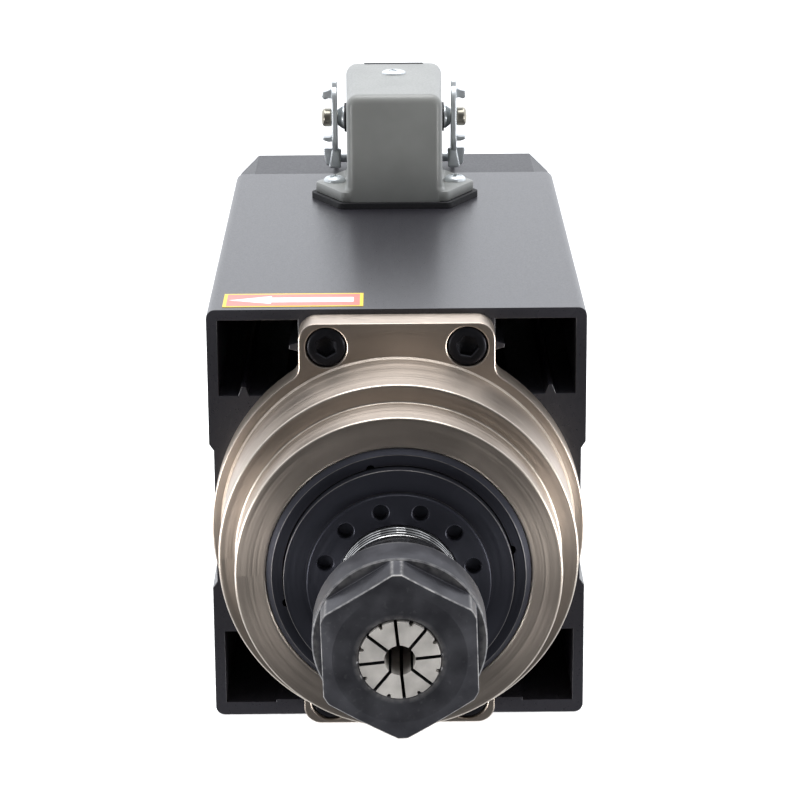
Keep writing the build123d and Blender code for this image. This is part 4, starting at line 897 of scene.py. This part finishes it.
step = np.array([(BODY_X, STEP_OUT), (STEP_X, STEP_IN), (STEP_X, -STEP_IN), (BODY_X, -STEP_OUT)])
body_outline = np.concatenate([
    body_corner(1, 1, 0), body_corner(-1, 1, 90), step * (-1, 1),
    body_corner(-1, -1, 180), body_corner(1, -1, 270), step * (1, -1),
])
ducts = [duct(sx, sz, sz > 0) for sx in (-1, 1) for sz in (-1, 1)]
body_loops = [body_outline, circle(MOTOR_BORE_R, 144), *ducts]
body = plate("extruded_body", body_loops, body_low[1] / MM, body_high[1] / MM, 0.09)
stand_for(body, "motor", slate, "body_extrusion")

# %% [markdown]
# ## Connector
# A die-cast hood on a six-sided foot. The hood is a loft: a rounded section carried along Y, drawn
# in over the first two millimetres to round its front edges, and turned back inside at the mouth.
# Where it stands on the foot, a small hollow joins the two, as in any casting.

# %% Connector sizes
hood_low, hood_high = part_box("connector_housing")
HOOD_FRONT, MOUTH_Y, HOOD_TOP = hood_low[1] / MM, hood_high[1] / MM, hood_high[2] / MM
GASKET_TOP = hood_low[2] / MM
FLANGE_TOP, FLANGE_REAR, SCREW_Y = GASKET_TOP + 2.6, HOOD_FRONT + 26.0, HOOD_FRONT + 13.0
HOOD_HALF, HOOD_FLARE, HOOD_WALL, HOOD_EDGE, HOOD_CORNER = 11.7, 0.6, 2.3, 1.9, 2.9


# %% Hood section
def hood_section(half, low, high, top_r, low_r, foot):
    """A whole section for each row of sizes, counted from the middle of the underside.

    The right half runs along the underside, round the low corner, up a hollow foot that leans out
    by foot * (1 - s)^2, round the top corner and along the top. The left half mirrors it.
    """
    t = np.linspace(0, pi / 2, 9)
    s = np.linspace(0, 1, 7)
    reach = half + foot - low_r
    start = np.maximum(FLANGE_TOP, low + low_r + 0.1)
    x = np.concatenate(
        [reach * (0, 0.5), reach + low_r * np.sin(t), half + foot * (1 - s) ** 2,
         half - top_r + top_r * np.cos(t), (half - top_r) * (0.5, 0)], 1)
    z = np.concatenate(
        [low + (0, 0), low + low_r * (1 - np.cos(t)), start + 1.1 * s,
         high - top_r + top_r * np.sin(t), high + (0, 0)], 1)
    return np.concatenate([x, -x[:, -2:0:-1]], 1), np.concatenate([z, z[:, -2:0:-1]], 1)


def connector_hood():
    """Rows: the front's rounded edge, inset E (1 - sin t) at depth E (1 - cos t), the flared
    length, the mouth's rim, and the walls inside."""
    t = np.linspace(0, pi / 2, 8)
    rim_and_walls = [0.35, 1.9, *[HOOD_WALL] * 3]
    inset = np.concatenate([[HOOD_EDGE + 0.5], HOOD_EDGE * (1 - np.sin(t)), np.zeros(24), rim_and_walls])
    length = np.linspace(HOOD_FRONT + HOOD_EDGE + 0.5, MOUTH_Y - 0.35, 24)
    rounded = HOOD_FRONT + HOOD_EDGE * (1 - np.cos(t))
    mouth = MOUTH_Y - np.array([0, 0, 0.35, 12.2, 38])
    y = np.concatenate([[HOOD_FRONT], rounded, length, mouth])
    inside = np.arange(len(y)) > len(y) - len(mouth)
    over = np.clip((y - FLANGE_REAR + 1.2) / 1.2, 0, 1)
    flare = HOOD_FLARE * ((y - HOOD_FRONT) / (MOUTH_Y - HOOD_FRONT)) ** 2
    low = GASKET_TOP + 0.05 + 1.35 * over + inset * (y > FLANGE_REAR)
    low_r = np.where(inside, 0.8, 0.3 + 1.5 * over)
    foot = 0.7 * (1 - over) * (y < FLANGE_REAR)
    top_r = np.maximum(HOOD_CORNER - 0.8 * inset, 0.8)
    sizes = (HOOD_HALF + flare - inset, low, HOOD_TOP - inset, top_r, low_r, foot)
    x, z = hood_section(*(v[:, None] for v in sizes))
    grid = np.stack([x, y[:, None] + 0 * x, z], -1) * MM
    return skin("connector_hood", grid, cap=True, sharp=50)


stand_for(connector_hood(), "motor", hood_paint, "connector_housing")

# %% Connector foot
FOOT_FLAT, FOOT_POINT = 12.9, 19.8
flange_points = [
    (-FOOT_FLAT, HOOD_FRONT), (FOOT_FLAT, HOOD_FRONT), (FOOT_POINT, SCREW_Y),
    (FOOT_FLAT, FLANGE_REAR), (-FOOT_FLAT, FLANGE_REAR), (-FOOT_POINT, SCREW_Y),
]
foot_outline = eased(flange_points, 0.9, 5, closed=True)[0] + (0, 0.04)
flange = plate("connector_foot", [foot_outline], GASKET_TOP, FLANGE_TOP, 0.45, 30, faces="up")
stand_for(flange, "motor", hood_paint, "connector_housing")
seal_corners = rectangle((-7.6, 7.6), (MOUTH_Y - 1.2, MOUTH_Y - 0.1))
seal_outline = eased(seal_corners, 0.4, 4, closed=True)[0]
seal = plate("mouth_seal", [seal_outline], HOOD_TOP - 0.3, HOOD_TOP + 0.12, 0.08, 30, faces="up")
stand_for(seal, "motor", rubber)

# %% [markdown]
# ## Pan heads
# Two bright pan head screws hold the foot, and a lower, wider one on the hood holds the contacts.
# A head is a dome worked out on a polar grid, and the cross is a dip pushed into that same dome.

# %% Pan heads
def pan_head(name, x, y, base, radius, height, cross, turn):
    """Dome height h (1 - (r / R)^3)^0.5, less a cross: a dip wherever either arm's strip covers."""
    r = radius * np.linspace(0, 1, 40)[:, None] ** 0.8
    angle = turns(120)
    u, v = r * np.cos(angle - turn), r * np.sin(angle - turn)
    dome = height * (1 - (r / radius) ** 3) ** 0.5 + 0 * u
    arm = np.maximum(np.clip((0.45 - abs(u)) / 0.15, 0, 1), np.clip((0.45 - abs(v)) / 0.15, 0, 1))
    dip = 0.75 * height * arm * np.clip((cross - r) / 0.2, 0, 1)
    top = np.stack([x + r * np.cos(angle), y + r * np.sin(angle), base + 0.12 + dome - dip], -1)
    under = top[-1:] - (0, 0, 0.12)
    return skin(name, np.concatenate([top, under]) * MM, cap=True, sharp=45)


FOOT_SCREW_X = 15.0
for side in (-1, 1):
    place = side * FOOT_SCREW_X, SCREW_Y, FLANGE_TOP
    screw = pan_head(f"foot_screw_{side}", *place, 2.75, 1.3, 1.7, 0.5 + side)
    stand_for(screw, "motor", zinc, "connector_screws")
contact_screw = pan_head("contact_screw", 0, MOUTH_Y - 14.5, HOOD_TOP, 3.05, 0.75, 1.5, 0.3)
stand_for(contact_screw, "motor", zinc, "insert_screw")

# %% [markdown]
# ## Locking lever
# A bail of sheet steel, zinc plated. Each side is a rocker stamped with a tip, an arm down to the
# cross bar, and small ears bent outwards. The rocker is a flat outline in the side view with a
# thickness, and the pegs, bushes and bar are spun about lines parallel to the pivot's.

# %% Lever sizes and turning about the pivot line
LEVER_BACK, LEVER_HEIGHT, LEVER_REACH = 11.0, 16.2, 20.0
PLATE_IN, PLATE_OUT, ARM_END_R, PARK_GAP = 14.5, 15.9, 2.5, 0.3
BAR_HALF, BAR_R = 14.9, 1.42
PIVOT_Y, PIVOT_Z = MOUTH_Y - LEVER_BACK, body_high[2] / MM + LEVER_HEIGHT
ARM_FALL = np.arcsin((LEVER_HEIGHT - ARM_END_R - PARK_GAP) / LEVER_REACH)
BAR_Y, BAR_Z = LEVER_REACH * cos(ARM_FALL), -LEVER_REACH * sin(ARM_FALL)


def turned_across(name, profile, ease=0.2, y=0.0, z=0.0):
    """Spin (x, radius) points about a line along X through the pivot, or (y, z) off it."""
    points = eased(profile, ease)[0]
    angle = turns(64)
    x, r = points[:, 0, None], points[:, 1, None]
    across, back, rise = x + 0 * angle, PIVOT_Y + y + r * np.cos(angle), PIVOT_Z + z + r * np.sin(angle)
    return skin(name, np.stack([across, back, rise], -1) * MM, sharp=40)


# %% Rocker plates
def rocker_outline():
    """Round tip, capsule top, arm, the bar's round end, and the capsule's round bottom."""
    down = np.degrees(ARM_FALL)
    return np.concatenate([
        arc(0, -4.8, 4.0, -180, -26.6),
        [(BAR_Y - 1.675, BAR_Z - 1.856)],
        arc(BAR_Y, BAR_Z, ARM_END_R, -90 - down, 90 - down),
        [(4.0, -0.24)],
        arc(0, 4.6, 4.0, 0, 62, 8),
        arc(0.4, 8.6, 1.2, 20, 90, 6), arc(-0.4, 8.6, 1.2, 90, 160, 6),
        arc(0, 4.6, 4.0, 118, 180, 8),
    ]) + (PIVOT_Y, PIVOT_Z)


def ear(points):
    """An ear's rounded outline in the front view, from corners relative to the pivot."""
    return eased(points, 0.7, 5, closed=True)[0]


upper = ear([(15.3, 4.8), (16.6, 5.2), (17.6, 4.7), (18.4, 5.4), (18.2, 6.9), (17.0, 7.1), (15.3, 8.0)])
lower = ear([(15.3, -4.3), (16.6, -5.0), (18.2, -4.9), (18.3, -5.6), (16.8, -6.2), (15.3, -6.0)])
foot = ear([(14.6, -7.6), (15.8, -7.6), (16.8, -13.1), (13.6, -13.1)])
heel = ear([(13.6, -8.5), (18.2, -8.3), (17.6, -12.9), (13.8, -12.9)])
# Each ear's name, outline, and front and rear from the pivot line.
ears = (
    ("upper", upper, -1.6, 1.6), ("lower", lower, -1.6, 1.6),
    ("foot", foot, -1.1, 1.1), ("heel", heel, 1.3, 2.5),
)
for side in (-1, 1):
    spans = sorted((side * PLATE_IN, side * PLATE_OUT))
    rocker = plate(f"rocker_{side}", [rocker_outline()], *spans, 0.42, 30, faces="side")
    stand_for(rocker, "lever", zinc, "locking_lever")
    for word, outline, ear_front, ear_rear in ears:
        loop = outline * (side, 1) + (0, PIVOT_Z)
        piece = plate(f"{word}_ear_{side}", [loop], PIVOT_Y + ear_front, PIVOT_Y + ear_rear, 0.3, 30)
        stand_for(piece, "lever", zinc, "locking_lever")
bar_profile = [(-BAR_HALF, 0), (-BAR_HALF, BAR_R), (BAR_HALF, BAR_R), (BAR_HALF, 0)]
bar = turned_across("lever_bar", bar_profile, 0.3, BAR_Y, BAR_Z)
stand_for(bar, "lever", zinc, "locking_lever")

# %% Pegs and bushes
PEG = [(11.0, 0), (11.0, 1.55), (15.95, 1.55), (16.0, 2.35), (17.9, 2.35), (18.45, 1.6), (18.6, 0)]
BUSH = [(12.6, 1.7), (12.6, 3.0), (13.2, 2.9), (14.42, 1.95), (14.42, 1.7)]
for side in (-1, 1):
    peg = turned_across(f"peg_{side}", [(side * x, r) for x, r in PEG], 0.35)
    stand_for(peg, "motor", peg_alloy, "lever_pegs")
    bush = turned_across(f"bush_{side}", [(side * x, r) for x, r in BUSH], 0.2)
    stand_for(bush, "motor", zinc, "peg_bushes")

# %% [markdown]
# ## Pieces that the solids already shape well
# The cowl and its screws, the gasket, the fan and the peg washers keep their solids' shapes. Their
# triangles are joined and smoothed and their edges broken, so that they take light as castings and
# pressings do.

# %% Dressed solids
for node, body_name, material, bevel in (
    ("fan_cowl", "motor", cowl_paint, 0.35),
    ("connector_gasket", "motor", rubber, 0.25),
    ("peg_washers", "motor", black_plastic, 0.12),
    ("cooling_fan", "rotor", black_plastic, 0.2),
    ("cowl_screws", "motor", black_oxide, 0.15),
):
    stand_for(dressed(node, bevel), body_name, material, node)

# %% [markdown]
# ## Finishes for the solids that stay
# The inner pieces keep their solids and only get their finishes.

# %% Materials on the remaining solids
inside = {
    ground_steel: (
        "first_bearing_outer_ring", "second_bearing_outer_ring", "outer_spacer", "rear_bearing_outer_ring",
        "preload_spring", "first_bearing_inner_ring", "second_bearing_inner_ring", "inner_spacer",
        "rear_bearing_inner_ring",
    ),
    core_steel: ("stator_core", "rotor_core"),
    copper: ("stator_windings",),
    cast_alloy: ("rotor_end_rings", "rear_end_shield"),
    black_plastic: ("contact_insert",),
    pin_brass: ("contact_pins",),
    zinc: ("fan_washer", "fan_screw"),
}
for material, nodes in inside.items():
    for node in nodes:
        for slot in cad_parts[node].material_slots:
            slot.material = material
print("finished", sum(len(nodes) for nodes in inside.values()), "inner solids")

# %% [markdown]
# ## Direction label
# A thin printed label near the front edge of the top face: a yellow border, a red field and a white
# arrow. It shows which way the spindle turns. Each colour is a flat outline, each a little higher.

# %% Direction label
LABEL_X, LABEL_Y = (-37.5, -7.15), (87.7, 98.9)
top_z = body_high[2] / MM


def flat_sheet(name, outline, height, colour, thick=0.06):
    """A thin sheet lying on the top face: the outline's points at height, and again at its base."""
    points = np.array(outline, float)
    ring = np.concatenate([points, np.full((len(points), 1), height)], 1)
    base = ring - (0, 0, thick)
    sheet = skin(name, np.stack([base, ring]) * MM, cap=True, sharp=20)
    ink = Finish(name + "_ink", colour, 0.0, 0.35)
    tone = tuple(0.9 * c for c in colour)
    ink.feed("Base Color", ink.colours(ink.between(ink.noise(300.0), 0.3, 0.7), tone, colour))
    return stand_for(sheet, "motor", ink.material)


arrow_y = sum(LABEL_Y) / 2
arrow = [
    (-36.4, arrow_y), (-27.1, arrow_y - 3.3), (-27.1, arrow_y - 2.0), (-9.25, arrow_y - 2.0),
    (-9.25, arrow_y + 2.0), (-27.1, arrow_y + 2.0), (-27.1, arrow_y + 3.3),
]
flat_sheet("label_border", rectangle(LABEL_X, LABEL_Y), top_z + 0.08, (0.95, 0.62, 0.03))
flat_sheet("label_field", rectangle(LABEL_X, LABEL_Y, 0.75), top_z + 0.10, (0.90, 0.20, 0.17))
flat_sheet("label_arrow", arrow, top_z + 0.12, (0.9, 0.88, 0.86))
